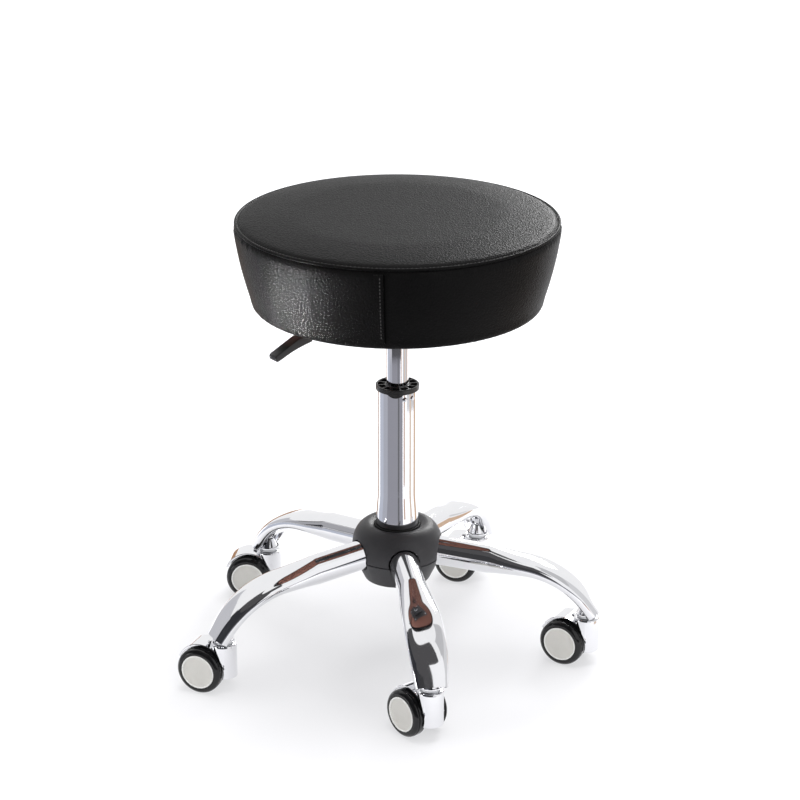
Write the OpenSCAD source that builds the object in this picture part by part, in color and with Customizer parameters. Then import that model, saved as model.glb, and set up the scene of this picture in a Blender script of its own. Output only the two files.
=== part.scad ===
/* [Seat] */
// Height of the seat's flat top above the floor
seat_top_z = 595; // [560:1:640]
// Thickness of the whole seat
seat_h = 114.4; // [90:0.1:140]
// Radius at the widest line of the side band
seat_r = 202.8; // [180:0.1:225]
// How much the side band draws in towards the bottom
band_draw_in = 20.3; // [5:0.1:35]
// Radius of the flat middle of the crown
crown_flat_r = 112; // [60:1:150]
// Fall of the crown from the flat middle to the edge seam
crown_fall = 7; // [3:0.1:15]
// Thickness of the vinyl cover
vinyl_t = 1.4; // [1:0.1:2]
// Thickness of the plywood seat board
board_t = 12; // [9:0.5:18]
// Direction of the vertical seam in the side band, in degrees
band_seam_az = -105.8; // [-180:0.1:180]

/* [Gas spring] */
// Outer radius of the outer column
column_r = 25; // [22:0.1:30]
// Extra radius of the flared foot of the column
column_flare = 2; // [1:0.1:3]
// Wall of the column
column_wall = 1.5; // [1.2:0.1:2.5]
// Outer radius of the sliding gas cylinder
cylinder_r = 14; // [12:0.1:16]
// Radius of the piston rod
rod_r = 5; // [4:0.1:6]
// Travel of the seat above the height shown
lift_up = 70; // [40:1:80]
// Travel of the seat below the height shown
lift_down = 60; // [30:1:60]

/* [Base] */
// Height of the leg axis where it would meet the column axis
leg_axis_h = 152; // [140:1:165]
// Radius of the round leg tube
tube_r = 19; // [16:0.5:22]
// Wall of the leg tube
leg_wall = 1.8; // [1.2:0.1:2.5]
// Fall of the leg from the hub outwards, in degrees
leg_fall = 6.6; // [3:0.1:10]
// Radius of the bend on the tube's axis
leg_bend_r = 113; // [105:1:120]
// Height of the outer edge of the leg's end
leg_end_z = 76.5; // [74:0.5:80]
// Radius of the circle of caster stems
stem_circle_r = 246.5; // [244:0.5:248]
// Radius of the hub cover
hub_r = 58; // [54:0.5:64]

/* [Casters] */
// Radius of a wheel
wheel_r = 30; // [27:0.5:32]
// Distance from the middle of the caster to a wheel's outer face
wheel_face_y = 26; // [24:0.5:30]
// Distance from the stem to the axle
caster_trail = 25; // [22:0.5:27]
// Radius of the pale cap on a wheel
cap_r = 22.3; // [18:0.1:23]
// Radius of the caster's stem
stem_r = 5.5; // [5:0.1:6]

/* [Lever] */
// Direction of the lever seen from above, in degrees
lever_az = -152.7; // [-180:0.1:180]
// Distance from the column axis to the lever's tip
lever_tip_r = 189; // [170:1:196]
// Width of the paddle
paddle_w = 15; // [10:0.5:20]

/* [Hidden] */
$fn = 96;
legs_n = 5;
leg_step_az = 360 / legs_n;
front_az = -90;
// Heading of each caster from the front leg round, in degrees
caster_yaw = [-59.5, -39.5, -30, -17, -32.5];
// Overrun of cuts past a face
over = 1;
// Play between a shaft and its hole
run_gap = 0.05;
// Gap between pieces that seat on each other
seat_gap = 0.1;

// Crown: distance in from the widest line to the sewn seam, its groove and the bead outside it
seat_bottom_z = seat_top_z - seat_h;
arc_steps = 6;
seam_in = 6.3;
crown_edge_r = seat_r - seam_in;
seam_z = seat_top_z - crown_fall;
seam_groove = 1.1;
bead_r = 1.9;
bead_from = 150;
bead_to = -30;
bead_at = [crown_edge_r + seam_groove + bead_r, seam_z - seam_groove - bead_r / 2];
// Side band: shoulder under the bead, swell between the edges, rounded lower corner, lapped seam
shoulder_r = 3.2;
shoulder_from = 55;
shoulder_at = [seat_r - shoulder_r, bead_at[1] - bead_r - shoulder_r];
band_swell = 2.2;
band_steps = 10;
seat_corner_r = 9;
corner_at = [seat_r - band_draw_in - seat_corner_r, seat_bottom_z + seat_corner_r];
band_lap_t = 0.9;
band_lap_w = 12;
// Underside: width of the cover turned in under the board, board, black lining, bolts
turn_in_w = 24;
lining_t = 0.8;
lining_margin = 8;
board_r = corner_at[0] + seat_gap;
board_z = seat_bottom_z + vinyl_t + seat_gap;
bolt_at = 62;
bolt_r = 3;
bolt_head_r = 5.5;
bolt_head_h = 3.6;
tee_r = 9;
tee_t = 1.2;
tee_barrel_r = 3.9;
tee_barrel_h = 9;
tee_hole_r = tee_barrel_r + seat_gap;

// Seat plate
plate_t = 2.5;
plate_half = 80;
plate_corner = 10;
plate_top_z = seat_bottom_z - lining_t;
pan_half = 46;
pan_corner = 8;
pan_drop = 39.8;
pan_z = plate_top_z - pan_drop;
pan_floor_top = pan_z + plate_t;
pan_slot_half_w = 8;
pan_slot_below = 10;
pan_slot_above = 7;
bolt_slot_l = 14;

// Gas spring heights
socket_below = 6;
socket_z = pan_z - socket_below;
socket_h = 22;
socket_r = 18;
socket_lip_r = 24;
socket_lip_t = 3;
tip_out = 2;
cylinder_top_z = socket_z + socket_h + tip_out;
taper_in = 0.8;
cylinder_tip_r = cylinder_r - taper_in;
cylinder_wall = 1.5;
gland_h = 12;
valve_h = 26;
button_r = 3;
button_h = 15;
button_out = 6;
button_room = 5;
column_below = 52;
column_bottom_z = leg_axis_h - column_below;
foot_h = 8;
foot_z = column_bottom_z + foot_h;
foot_chamfer = 1;
flare_above = 36;
flare_z = leg_axis_h + flare_above;
flare_h = 38;
flare_top_z = flare_z + flare_h;
flare_steps = 7;
end_plate_t = 3.5;
journal_r = 4;
washer_r = 13;
washer_t = 2;
ball_r = 2;
ball_ring_r = 9;
ball_n = 12;
ball_play = 0.05;
bearing_z = column_bottom_z + end_plate_t;
rod_shoulder_z = bearing_z + 2 * washer_t + 2 * (ball_r + ball_play);
rod_out_l = 5;
rod_end_z = column_bottom_z - rod_out_l;
piston_h = 8;
clip_r = 8;
clip_t = 1.2;
clip_groove = 1;
clip_mouth = 5;
stop_r = 11;
stop_h = 16;
stop_clear = 12;
cylinder_bottom_z = rod_shoulder_z + stop_h + stop_clear + lift_down;
rod_spare = 40;
rod_top_z = cylinder_bottom_z + gland_h + lift_up + rod_spare + piston_h;

// Guide bush in the column's mouth
bush_flange_r = 27.5;
bush_flange_h = 6.5;
bush_clear = 2.5;
column_top_z = socket_z - lift_down - bush_clear - bush_flange_h;
bush_sleeve_h = 70;
bush_recess = 3;
bush_rib_n = 12;
bush_rib_w = 1.7;
bush_rim_w = 2.6;
bush_tab_w = 20;
bush_tab_h = 4;
bush_tab_t = 2;
bush_tab_az = -104.9;
rivet_az = [-77.3, -52];
rivet_drop = 7;
rivet_dome_r = 3.4;
rivet_sink = 0.7;
rivet_shank_r = 1.5;
rivet_shank_l = 3.4;
rivet_in_r = column_r - rivet_shank_l;

// Hub
core_r = 36;
core_below = 40;
core_above = 20;
core_bottom_z = leg_axis_h - core_below;
core_top_z = leg_axis_h + core_above;
cover_wall = 2.4;
cover_crest_r = 38;
cover_crest_h = 30;
cover_waist_z = leg_axis_h;
cover_rim_drop = 3.5;
cover_seam_below = 12;
cover_seam_z = leg_axis_h - cover_seam_below;
cover_seam_gap = 0.8;
cover_seam_in = 0.6;
cover_foot_below = 45;
cover_foot_z = leg_axis_h - cover_foot_below;
cover_foot_r = 43;
cover_steps = 10;
cover_spigot_h = 3.4;
cover_hole_play = 1.3;
ring_w = 3;
ring_r = column_r + column_flare + ring_w;
ring_h = 9;

// Legs
leg_sides = 24;
leg_rings = 11;
leg_press_at = 118;
tip_half_w = 20.5;
tip_half_h = 9.3;
press_bulge = 5.2;
press_rate = 2.8;
press_square = 0.8;
notch_half_w = 16.5;
notch_l = 39;
weld_gap = 0.4;
leg_tip_drop = 12.5;

// Stem socket
socket_flange_r = 14;
socket_flange_t = 2.5;
cone_foot_r = 12;
cone_top_r = 7.6;
dome_r = 5;
stem_socket_z = 69.5;
stem_socket_h = 18.5;
dome_neck = 5;
bore_roof = 5.5;

// Caster
boss_r = 16.5;
boss_foot_z = 20;
boss_top_z = 66;
boss_round = 3;
body_half_w = 10.8;
boss_gap = 1.7;
hood_gap = 1.2;
hood_t = 2.6;
hood_half_w = 15.5;
hood_from = 8;
hood_to = 158;
collar_r = 12.5;
collar_gap = 0.3;
swivel_gap = 0.4;
web_half_w = 3;
web_drop = 12;
knob_l = 9;
knob_w = 7;
knob_drop = 0.8;
axle_r = 3;
axle_half = 22;
wheel_in_y = 11.4;
wheel_edge = 0.8;
wheel_bevel = 3.6;
wheel_lip = 0.4;
wheel_groove = 0.8;
wheel_groove_y = 20.6;
wheel_rim_t = 5;
wheel_hub_r = 7;
wheel_web_y = 17;
wheel_web_t = 2.5;
cap_t = 1.8;
cap_ledge_y = wheel_face_y - cap_t;
cap_ledge_w = 1.6;
cap_bead = 0.5;
cap_dish = 0.4;

// Lever
fulcrum_r = 38;
nub_r = 2.5;
nub_gap = 0.1;
fulcrum_z = cylinder_top_z + button_out + nub_gap + nub_r;
arm_w = 12;
arm_t = 3;
arm_past = 6;
arm_end_r = 56;
eye_r = 4;
pin_r = 2;
pin_half = 9.6;
ear_t = 2.5;
ear_in = 7;
ear_half = 6;
ear_h = 30;
rod_arm_r = 3.5;
knuckle = 0.4;
rod_bend_r = 146;
rod_bend_drop = 3.5;
rod_out_r = 176;
rod_out_drop = 16.2;
paddle_root_r = 134;
paddle_above = 4.2;
paddle_below = 5.4;
paddle_edge = 1.5;
paddle_thumb = 20;
paddle_tip_r = 4.8;
paddle_tip_drop = 20;
paddle_tip_from = 65;
paddle_tip_to = -80;
paddle_hollow = 2;
paddle_steps = 5;

// Points of an arc about a centre, from one angle to another
function arc_points(centre, r, from, to, steps) =
  [for (i = [0 : steps]) let (a = from + (to - from) * i / steps)
    centre + r * [cos(a), sin(a)]];

function mix(a, b, t) = a + (b - a) * t;

// Side line of the band at a share of its height, inset by a depth
function band_point(t, inset) =
  [seat_r - band_draw_in * t + band_swell * sin(180 * t) - inset, mix(shoulder_at[1], corner_at[1], t)];

function band_line(inset) = [for (i = [0 : band_steps]) band_point(i / band_steps, inset)];

// Crown from its flat middle to the seam, inset by a depth
function crown_line(inset) =
  concat([[0, seat_top_z - inset]],
    [for (i = [0 : band_steps]) let (t = i / band_steps)
      [mix(crown_flat_r, crown_edge_r - inset, sin(90 * t)),
       seat_top_z - inset - crown_fall * (1 - cos(90 * t))]]);

// Half outline of the seat: crown, seam groove, bead, band, rounded lower corner
function seat_outline() =
  concat(crown_line(0),
    arc_points(bead_at, bead_r, bead_from, bead_to, arc_steps),
    arc_points(shoulder_at, shoulder_r, shoulder_from, 0, arc_steps),
    band_line(0),
    arc_points(corner_at, seat_corner_r, 0, -90, arc_steps),
    [[0, seat_bottom_z]]);

// The same outline under the cover, without the sewn edge
function padding_outline(inset) =
  concat(crown_line(inset),
    band_line(inset),
    arc_points(corner_at, seat_corner_r - inset, 0, -90, arc_steps),
    [[0, seat_bottom_z + inset]]);

// Sewn cover with its lapped seam, turned in under the board
module seat_cover() {
  lap_deg = band_lap_w / seat_r * 180 / PI;
  color("#1d1c1c") {
    rotate_extrude()
      difference() {
        polygon(seat_outline());
        polygon(padding_outline(vinyl_t));
        translate([-over, seat_bottom_z - over])
          square([board_r - turn_in_w + over, vinyl_t + 2 * over]);
      }
    rotate([0, 0, band_seam_az - lap_deg / 2])
      rotate_extrude(angle = lap_deg)
        polygon(concat(
          band_line(-band_lap_t),
          [for (i = [band_steps : -1 : 0]) band_point(i / band_steps, vinyl_t / 2)]));
  }
}

// Foam block with the recess for the board and the tee nuts
module foam_pad() {
  color("#d9cf9f")
    difference() {
      rotate_extrude()
        difference() {
          polygon(padding_outline(vinyl_t + seat_gap));
          translate([-over, seat_bottom_z - over])
            square([board_r + seat_gap + over, board_z + board_t + seat_gap - seat_bottom_z + over]);
        }
      at_bolts()
        translate([0, 0, board_z + board_t - over])
          cylinder(r = tee_r + seat_gap, h = tee_t + seat_gap + over);
    }
}

module at_bolts() {
  rotate([0, 0, lever_az])
    for (x = [-1, 1], y = [-1, 1])
      translate([x * bolt_at, y * bolt_at, 0])
        children();
}

module seat_board() {
  color("#c9a26b")
    difference() {
      translate([0, 0, board_z])
        cylinder(r = board_r, h = board_t);
      at_bolts()
        translate([0, 0, board_z - over])
          cylinder(r = tee_hole_r, h = board_t + 2 * over);
    }
}

module underside_lining() {
  color("#8a5a45")
    difference() {
      translate([0, 0, seat_bottom_z - lining_t])
        cylinder(r = (board_r - lining_margin), h = lining_t);
      at_bolts()
        translate([0, 0, seat_bottom_z - lining_t - over])
          cylinder(r = bolt_r + seat_gap, h = lining_t + 2 * over);
    }
}

// Four button-head bolts, each with its tee nut on top of the board
module seat_bolts() {
  color("silver")
    at_bolts() {
      translate([0, 0, plate_top_z - plate_t - bolt_head_h])
        cylinder(r = bolt_head_r, h = bolt_head_h);
      translate([0, 0, plate_top_z - plate_t - over])
        cylinder(r = bolt_r, h = board_z + board_t - plate_top_z + plate_t + over);
      translate([0, 0, board_z + board_t - tee_barrel_h])
        cylinder(r = tee_barrel_r, h = tee_barrel_h);
      translate([0, 0, board_z + board_t])
        cylinder(r = tee_r, h = tee_t);
    }
}

module rounded_square(half, corner) {
  square([2 * half, 2 * (half - corner)], center = true);
  square([2 * (half - corner), 2 * half], center = true);
  for (x = [-1, 1], y = [-1, 1])
    translate([x * (half - corner), y * (half - corner)])
      circle(r = corner);
}

module slot(r, len) {
  square([len - 2 * r, 2 * r], center = true);
  for (x = [-1, 1])
    translate([x * (len / 2 - r), 0])
      circle(r = r);
}

// Pressed plate: bolting flange, deep pan for the lever, two ears for the lever's pin
module seat_plate() {
  color("#2f3032")
    rotate([0, 0, lever_az]) {
      translate([0, 0, plate_top_z - plate_t])
        linear_extrude(plate_t)
          difference() {
            rounded_square(plate_half, plate_corner);
            rounded_square(pan_half - plate_t, pan_corner - plate_t);
            for (x = [-1, 1], y = [-1, 1])
              translate([x * bolt_at, y * bolt_at])
                slot(bolt_r + seat_gap, bolt_slot_l);
          }
      difference() {
        translate([0, 0, pan_z])
          linear_extrude(pan_drop - plate_t)
            difference() {
              rounded_square(pan_half, pan_corner);
              rounded_square(pan_half - plate_t, pan_corner - plate_t);
            }
        translate([pan_half - plate_t - over, -pan_slot_half_w, fulcrum_z - pan_slot_below])
          cube([plate_t + 2 * over, 2 * pan_slot_half_w, pan_slot_below + pan_slot_above]);
      }
      translate([0, 0, pan_z])
        linear_extrude(plate_t)
          difference() {
            rounded_square(pan_half, pan_corner);
            circle(r = socket_r + run_gap);
          }
      for (y = [ear_in, -ear_in - ear_t])
        difference() {
          translate([fulcrum_r - ear_half, y, pan_floor_top])
            cube([2 * ear_half, ear_t, ear_h]);
          translate([fulcrum_r, y - over, fulcrum_z])
            rotate([-90, 0, 0])
              cylinder(r = pin_r + run_gap, h = ear_t + 2 * over);
        }
    }
}

// Radius of the taper at a height inside the socket
function taper_r(z) = mix(cylinder_r, cylinder_tip_r, (z - socket_z) / (cylinder_top_z - socket_z));

// Turned socket that holds the cylinder's taper, with a lip that lies on the pan's floor
module taper_socket() {
  color("#5c5e60")
    difference() {
      union() {
        translate([0, 0, socket_z])
          cylinder(r = socket_r, h = socket_h);
        translate([0, 0, pan_floor_top])
          cylinder(r = socket_lip_r, h = socket_lip_t);
      }
      translate([0, 0, socket_z - over])
        cylinder(r1 = taper_r(socket_z - over) + run_gap,
                 r2 = taper_r(socket_z + socket_h + over) + run_gap,
                 h = socket_h + 2 * over);
    }
}

module lever_pin() {
  color("silver")
    rotate([0, 0, lever_az])
      translate([fulcrum_r, -pin_half, fulcrum_z])
        rotate([-90, 0, 0])
          cylinder(r = pin_r, h = 2 * pin_half);
}

// Straight round bar between two points of the lever's own side view
module bar(a, b, r) {
  d = b - a;
  translate([a[0], 0, a[1]])
    rotate([0, atan2(d[0], d[1]), 0])
      cylinder(r = r, h = norm(d));
}

rod_bend = [rod_bend_r, fulcrum_z - rod_bend_drop];
rod_out = [rod_out_r, fulcrum_z - rod_out_drop];

// Round rod of the lever with its bend, and with play round it where it is a hole
module lever_rod(play) {
  bar([arm_end_r - arm_w, fulcrum_z], rod_bend, rod_arm_r + play);
  translate([rod_bend[0], 0, rod_bend[1]])
    sphere(r = rod_arm_r + knuckle + play);
  bar(rod_bend, rod_out, rod_arm_r + play);
}

module lever_arm() {
  color("#3a3b3d")
    rotate([0, 0, lever_az])
      difference() {
        union() {
          translate([-arm_past, -arm_w / 2, fulcrum_z - arm_t / 2])
            cube([arm_past + arm_end_r, arm_w, arm_t]);
          translate([0, 0, fulcrum_z])
            sphere(r = nub_r);
          translate([fulcrum_r, -arm_w / 2, fulcrum_z])
            rotate([-90, 0, 0])
              cylinder(r = eye_r, h = arm_w);
          lever_rod(0);
        }
        translate([fulcrum_r, -arm_w / 2 - over, fulcrum_z])
          rotate([-90, 0, 0])
            cylinder(r = pin_r + run_gap, h = arm_w + 2 * over);
      }
}

// Moulded paddle: flat-sided grip on the rod, rounded tip, hollowed underside
module lever_paddle() {
  root = [paddle_root_r, fulcrum_z - rod_bend_drop];
  tip = [lever_tip_r - paddle_tip_r, fulcrum_z - paddle_tip_drop];
  heel = [root[0], root[1] - paddle_below];
  top_z = root[1] + paddle_above;
  color("#161616")
    rotate([0, 0, lever_az])
      difference() {
        rotate([90, 0, 0])
          translate([0, 0, -paddle_w / 2])
            linear_extrude(paddle_w)
              polygon(concat(
                [[root[0], top_z - paddle_edge], [root[0] + paddle_edge, top_z],
                 [root[0] + paddle_thumb, top_z - paddle_edge]],
                arc_points(tip, paddle_tip_r, paddle_tip_from, paddle_tip_to, arc_steps),
                [for (i = [1 : paddle_steps]) let (t = i / (paddle_steps + 1))
                  [mix(tip[0], heel[0], t),
                   mix(tip[1] - paddle_tip_r, heel[1], t) + paddle_hollow * sin(180 * t)]],
                [heel]));
        lever_rod(run_gap);
      }
}

// Pin that the lever's nub presses to open the gas valve
module release_button() {
  color("#b9bbbd")
    translate([0, 0, cylinder_top_z + button_out - button_h])
      cylinder(r = button_r, h = button_h);
}

// Closed sliding cylinder with its taper, its valve end and the rod gland
module gas_cylinder() {
  color("#d5d8db")
    difference() {
      union() {
        translate([0, 0, cylinder_bottom_z])
          cylinder(r = cylinder_r, h = socket_z - cylinder_bottom_z);
        translate([0, 0, socket_z])
          cylinder(r1 = cylinder_r, r2 = cylinder_tip_r, h = cylinder_top_z - socket_z);
      }
      translate([0, 0, cylinder_bottom_z + gland_h])
        cylinder(r = cylinder_r - cylinder_wall, h = cylinder_top_z - valve_h - cylinder_bottom_z - gland_h);
      translate([0, 0, cylinder_bottom_z - over])
        cylinder(r = rod_r + run_gap, h = gland_h + 2 * over);
      translate([0, 0, cylinder_top_z + button_out - button_h - button_room])
        cylinder(r = button_r + run_gap, h = button_h + button_room);
    }
}

// Rod with its piston, the journal that turns in the column's foot, and the clip's groove
module piston_rod() {
  color("#c4c7ca")
    difference() {
      union() {
        translate([0, 0, rod_end_z])
          cylinder(r = journal_r, h = rod_shoulder_z - rod_end_z);
        translate([0, 0, rod_shoulder_z])
          cylinder(r = rod_r, h = rod_top_z - rod_shoulder_z);
        translate([0, 0, rod_top_z - piston_h])
          cylinder(r = cylinder_r - cylinder_wall - seat_gap, h = piston_h);
      }
      translate([0, 0, column_bottom_z - clip_t - seat_gap])
        difference() {
          cylinder(r = journal_r + over, h = clip_t);
          cylinder(r = journal_r - clip_groove, h = clip_t);
        }
    }
}

// Open clip that keeps the rod's journal in the column's foot
module rod_clip() {
  color("#8d9093")
    translate([0, 0, column_bottom_z - clip_t - seat_gap])
      difference() {
        cylinder(r = clip_r, h = clip_t);
        translate([0, 0, -over])
          cylinder(r = journal_r - clip_groove + run_gap, h = clip_t + 2 * over);
        translate([0, -clip_mouth / 2, -over])
          cube([clip_r + over, clip_mouth, clip_t + 2 * over]);
      }
}

module bump_stop() {
  color("#1c1c1c")
    translate([0, 0, rod_shoulder_z + seat_gap])
      difference() {
        cylinder(r = stop_r, h = stop_h);
        translate([0, 0, -over])
          cylinder(r = rod_r + run_gap, h = stop_h + 2 * over);
      }
}

module race(z) {
  translate([0, 0, z])
    difference() {
      cylinder(r = washer_r, h = washer_t);
      translate([0, 0, -over])
        cylinder(r = journal_r + seat_gap, h = washer_t + 2 * over);
    }
}

module thrust_washer() {
  color("#a9acaf")
    race(rod_shoulder_z - washer_t);
}

// Lower race with the ring of balls that lies on it
module thrust_bearing() {
  color("#a9acaf") {
    race(bearing_z);
    for (i = [0 : ball_n - 1])
      rotate([0, 0, i * 360 / ball_n])
        translate([ball_ring_r, 0, bearing_z + washer_t + ball_r + ball_play])
          sphere(r = ball_r);
  }
}

// Outer radius of the column at a height in its taper, and in its flare
function column_taper_r(z) = column_r + column_flare * (z - foot_z) / (flare_z - foot_z);

// Half section of the column, inset by a wall, from a floor to a top
function column_half(inset, floor_z, top_z) =
  concat(
    [[0, floor_z], [column_r - foot_chamfer - inset, floor_z], [column_r - inset, foot_z]],
    [for (i = [0 : flare_steps]) let (t = i / flare_steps)
      [column_r + column_flare * (1 + cos(180 * t)) / 2 - inset, mix(flare_z, flare_top_z, t)]],
    [[column_r - inset, top_z], [0, top_z]]);

// Drawn column: closed foot with the rod's hole, tapered and flared lower end, open mouth
module column_tube() {
  color("#cfd3d6")
    difference() {
      rotate_extrude() {
        difference() {
          polygon(column_half(0, column_bottom_z, column_top_z));
          polygon(column_half(column_wall, column_bottom_z + end_plate_t, column_top_z + over));
        }
      }
      translate([0, 0, column_bottom_z - over])
        cylinder(r = journal_r + seat_gap, h = end_plate_t + 2 * over);
      at_rivets(rivet_shank_r + run_gap, rivet_in_r - seat_gap, column_r + over);
    }
}

// Radial bars at the bush rivets, from one radius to another
module at_rivets(r, from, to) {
  for (az = rivet_az)
    rotate([0, 0, az])
      translate([from, 0, column_top_z - rivet_drop])
        rotate([0, 90, 0])
          cylinder(r = r, h = to - from);
}

// Sleeve with a ribbed collar and a small tab over the column's edge
module guide_bush() {
  sleeve_r = column_r - column_wall - run_gap;
  groove_in = cylinder_r + bush_rim_w;
  groove_out = bush_flange_r - bush_rim_w;
  tab_r = (pow(bush_tab_w / 2, 2) + pow(bush_tab_h, 2)) / (2 * bush_tab_h);
  color("#19191a")
    difference() {
      union() {
        translate([0, 0, column_top_z - bush_sleeve_h])
          cylinder(r = sleeve_r, h = bush_sleeve_h);
        difference() {
          translate([0, 0, column_top_z])
            cylinder(r = bush_flange_r, h = bush_flange_h);
          translate([0, 0, column_top_z + bush_flange_h - bush_recess])
            difference() {
              cylinder(r = groove_out, h = bush_recess + over);
              cylinder(r = groove_in, h = bush_recess + over);
              for (i = [0 : bush_rib_n - 1])
                rotate([0, 0, bush_tab_az + (i + 0.5) * 360 / bush_rib_n])
                  translate([groove_in - over, -bush_rib_w / 2, -over])
                    cube([groove_out - groove_in + 2 * over, bush_rib_w, bush_recess + 3 * over]);
            }
        }
        rotate([0, 0, bush_tab_az])
          intersection() {
            translate([0, 0, column_top_z - bush_tab_h])
              difference() {
                cylinder(r = column_r + seat_gap + bush_tab_t, h = bush_tab_h + over);
                translate([0, 0, -over])
                  cylinder(r = column_r + seat_gap, h = bush_tab_h + 3 * over);
              }
            translate([0, 0, column_top_z + tab_r - bush_tab_h])
              rotate([0, 90, 0])
                cylinder(r = tab_r, h = 2 * column_r);
          }
      }
      translate([0, 0, column_top_z - bush_sleeve_h - over])
        cylinder(r = cylinder_r + run_gap, h = bush_sleeve_h + bush_flange_h + 2 * over);
      at_rivets(rivet_shank_r + run_gap, rivet_in_r - seat_gap, column_r + over);
    }
}

// Domed rivets that pin the bush, with shanks through the column wall
module bush_rivets() {
  color("#cfd3d6") {
    difference() {
      for (az = rivet_az)
        rotate([0, 0, az])
          translate([column_r - rivet_sink, 0, column_top_z - rivet_drop])
            sphere(r = rivet_dome_r);
      translate([0, 0, column_top_z - 2 * rivet_drop - over])
        cylinder(r = column_r + run_gap, h = 2 * rivet_drop + 2 * over);
    }
    at_rivets(rivet_shank_r, rivet_in_r, column_r + 2 * run_gap);
  }
}

// Rubber ring round the column's foot
module collar_ring() {
  color("#191919")
    difference() {
      union() {
        translate([0, 0, core_top_z + seat_gap])
          cylinder(r = ring_r, h = ring_h - ring_w / 2);
        rotate_extrude()
          translate([ring_r - ring_w / 2, core_top_z + seat_gap + ring_h - ring_w / 2])
            circle(r = ring_w / 2);
        translate([0, 0, core_top_z + seat_gap])
          cylinder(r = ring_r - ring_w / 2, h = ring_h);
      }
      translate([0, 0, core_top_z - over])
        cylinder(r = column_r + column_flare + run_gap, h = ring_h + 3 * over);
    }
}

// Thick hub ring with the tapered bore that the column is pressed into
module hub_core() {
  color("#3b3c3e")
    difference() {
      translate([0, 0, core_bottom_z])
        cylinder(r = core_r, h = core_top_z - core_bottom_z);
      translate([0, 0, core_bottom_z - over])
        cylinder(r1 = column_taper_r(core_bottom_z - over) + run_gap,
                 r2 = column_taper_r(core_top_z + over) + run_gap,
                 h = core_top_z - core_bottom_z + 2 * over);
    }
}

module at_leg(i) {
  rotate([0, 0, front_az + (i - 1) * leg_step_az])
    children();
}

// Round bars along every leg, for the holes in the covers
module leg_bars(r) {
  for (i = [1 : legs_n])
    at_leg(i)
      translate([0, 0, leg_axis_h])
        rotate([0, 90 + leg_fall, 0])
          cylinder(r = r, h = 2 * hub_r);
}

function dome(inset) =
  [for (i = [0 : cover_steps]) let (a = 90 * i / cover_steps)
    [cover_crest_r + (hub_r - cover_crest_r - inset) * sin(a),
     cover_waist_z + (cover_crest_h - inset) * cos(a)]];

// Domed upper half of the hub cover, resting on the core by its inner collar
module hub_cover_upper() {
  color("#333335")
    difference() {
      rotate_extrude() {
        difference() {
          polygon(concat(
            [[ring_r + seat_gap, cover_seam_z],
             [ring_r + seat_gap, cover_waist_z + cover_crest_h - cover_rim_drop]],
            dome(0),
            [[hub_r - cover_seam_in, cover_seam_z + cover_seam_gap / 2]]));
          polygon(concat(
            [[0, cover_seam_z - over],
             [0, core_top_z + seat_gap],
             [ring_r + seat_gap + cover_wall, core_top_z + seat_gap],
             [ring_r + seat_gap + cover_wall, cover_waist_z + cover_crest_h - cover_rim_drop - cover_wall]],
            dome(cover_wall),
            [[hub_r - cover_seam_in - cover_wall, cover_seam_z - over]]));
          translate([0, cover_seam_z - over])
            square([hub_r + over, over + cover_seam_gap / 2]);
        }
      }
      leg_bars(tube_r + cover_hole_play);
    }
}

// Tapered lower half, with a spigot that enters the upper half
module hub_cover_lower() {
  top = cover_seam_z - cover_seam_gap / 2;
  top_r = hub_r - cover_seam_in;
  color("#38383b")
    difference() {
      rotate_extrude() {
        difference() {
          polygon([[ring_r, cover_foot_z], [cover_foot_r - cover_wall, cover_foot_z],
            [cover_foot_r, cover_foot_z + cover_wall], [top_r, top],
            [top_r - cover_wall, top], [ring_r, top]]);
          polygon([[ring_r + 2 * cover_wall, core_bottom_z], [ring_r - over, core_bottom_z - seat_gap],
            [ring_r - over, top + over], [top_r - cover_wall, top + over], [top_r - cover_wall, top],
            [cover_foot_r - cover_wall, cover_foot_z + cover_wall],
            [ring_r + 2 * cover_wall, cover_foot_z + cover_wall]]);
        }
        translate([top_r - 2 * cover_wall, top - cover_spigot_h])
          square([cover_wall / 2 + over, 2 * cover_spigot_h]);
      }
      leg_bars(tube_r + cover_hole_play);
    }
}

// Height of the socket's domed top
dome_z = stem_socket_z + stem_socket_h;

// Radius at which the bend starts, so that the inside of the bend rests on the domed stem socket
function bend_start_r() =
  let (t = tan(leg_fall),
       u = stem_circle_r + leg_bend_r * sin(leg_fall),
       v = dome_z - leg_axis_h + leg_bend_r * cos(leg_fall),
       reach = leg_bend_r + tip_half_h - leg_wall - weld_gap - dome_r,
       m = u - v * t,
       q = 1 + t * t)
  (m - sqrt(m * m - q * (u * u + v * v - reach * reach))) / q;

// Leg: a round tube coped on the hub core, then bent and pressed to an oval
leg_bend_at = bend_start_r();
bend_centre = [leg_bend_at - leg_bend_r * sin(leg_fall),
  leg_axis_h - leg_bend_at * tan(leg_fall) - leg_bend_r * cos(leg_fall)];
leg_tip_fall = acos((leg_end_z + leg_tip_drop - bend_centre[1]) / (leg_bend_r + tip_half_h));
bend_start = bend_centre + leg_bend_r * [sin(leg_fall), cos(leg_fall)];
bend_end = bend_centre + leg_bend_r * [sin(leg_tip_fall), cos(leg_tip_fall)];
leg_straight_l = (bend_start[0] - leg_press_at) / cos(leg_fall);
leg_bend_l = leg_bend_r * (leg_tip_fall - leg_fall) * PI / 180;
leg_tip_l = (bend_end[1] - leg_end_z + tip_half_h * cos(leg_tip_fall)) / sin(leg_tip_fall);
leg_press_l = leg_straight_l + leg_bend_l + leg_tip_l;

// Slope of the tube at a distance along the pressed stretch
function leg_slope(l) =
  l < leg_straight_l ? leg_fall
  : l > leg_straight_l + leg_bend_l ? leg_tip_fall
  : leg_fall + (l - leg_straight_l) / leg_bend_r * 180 / PI;

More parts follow.
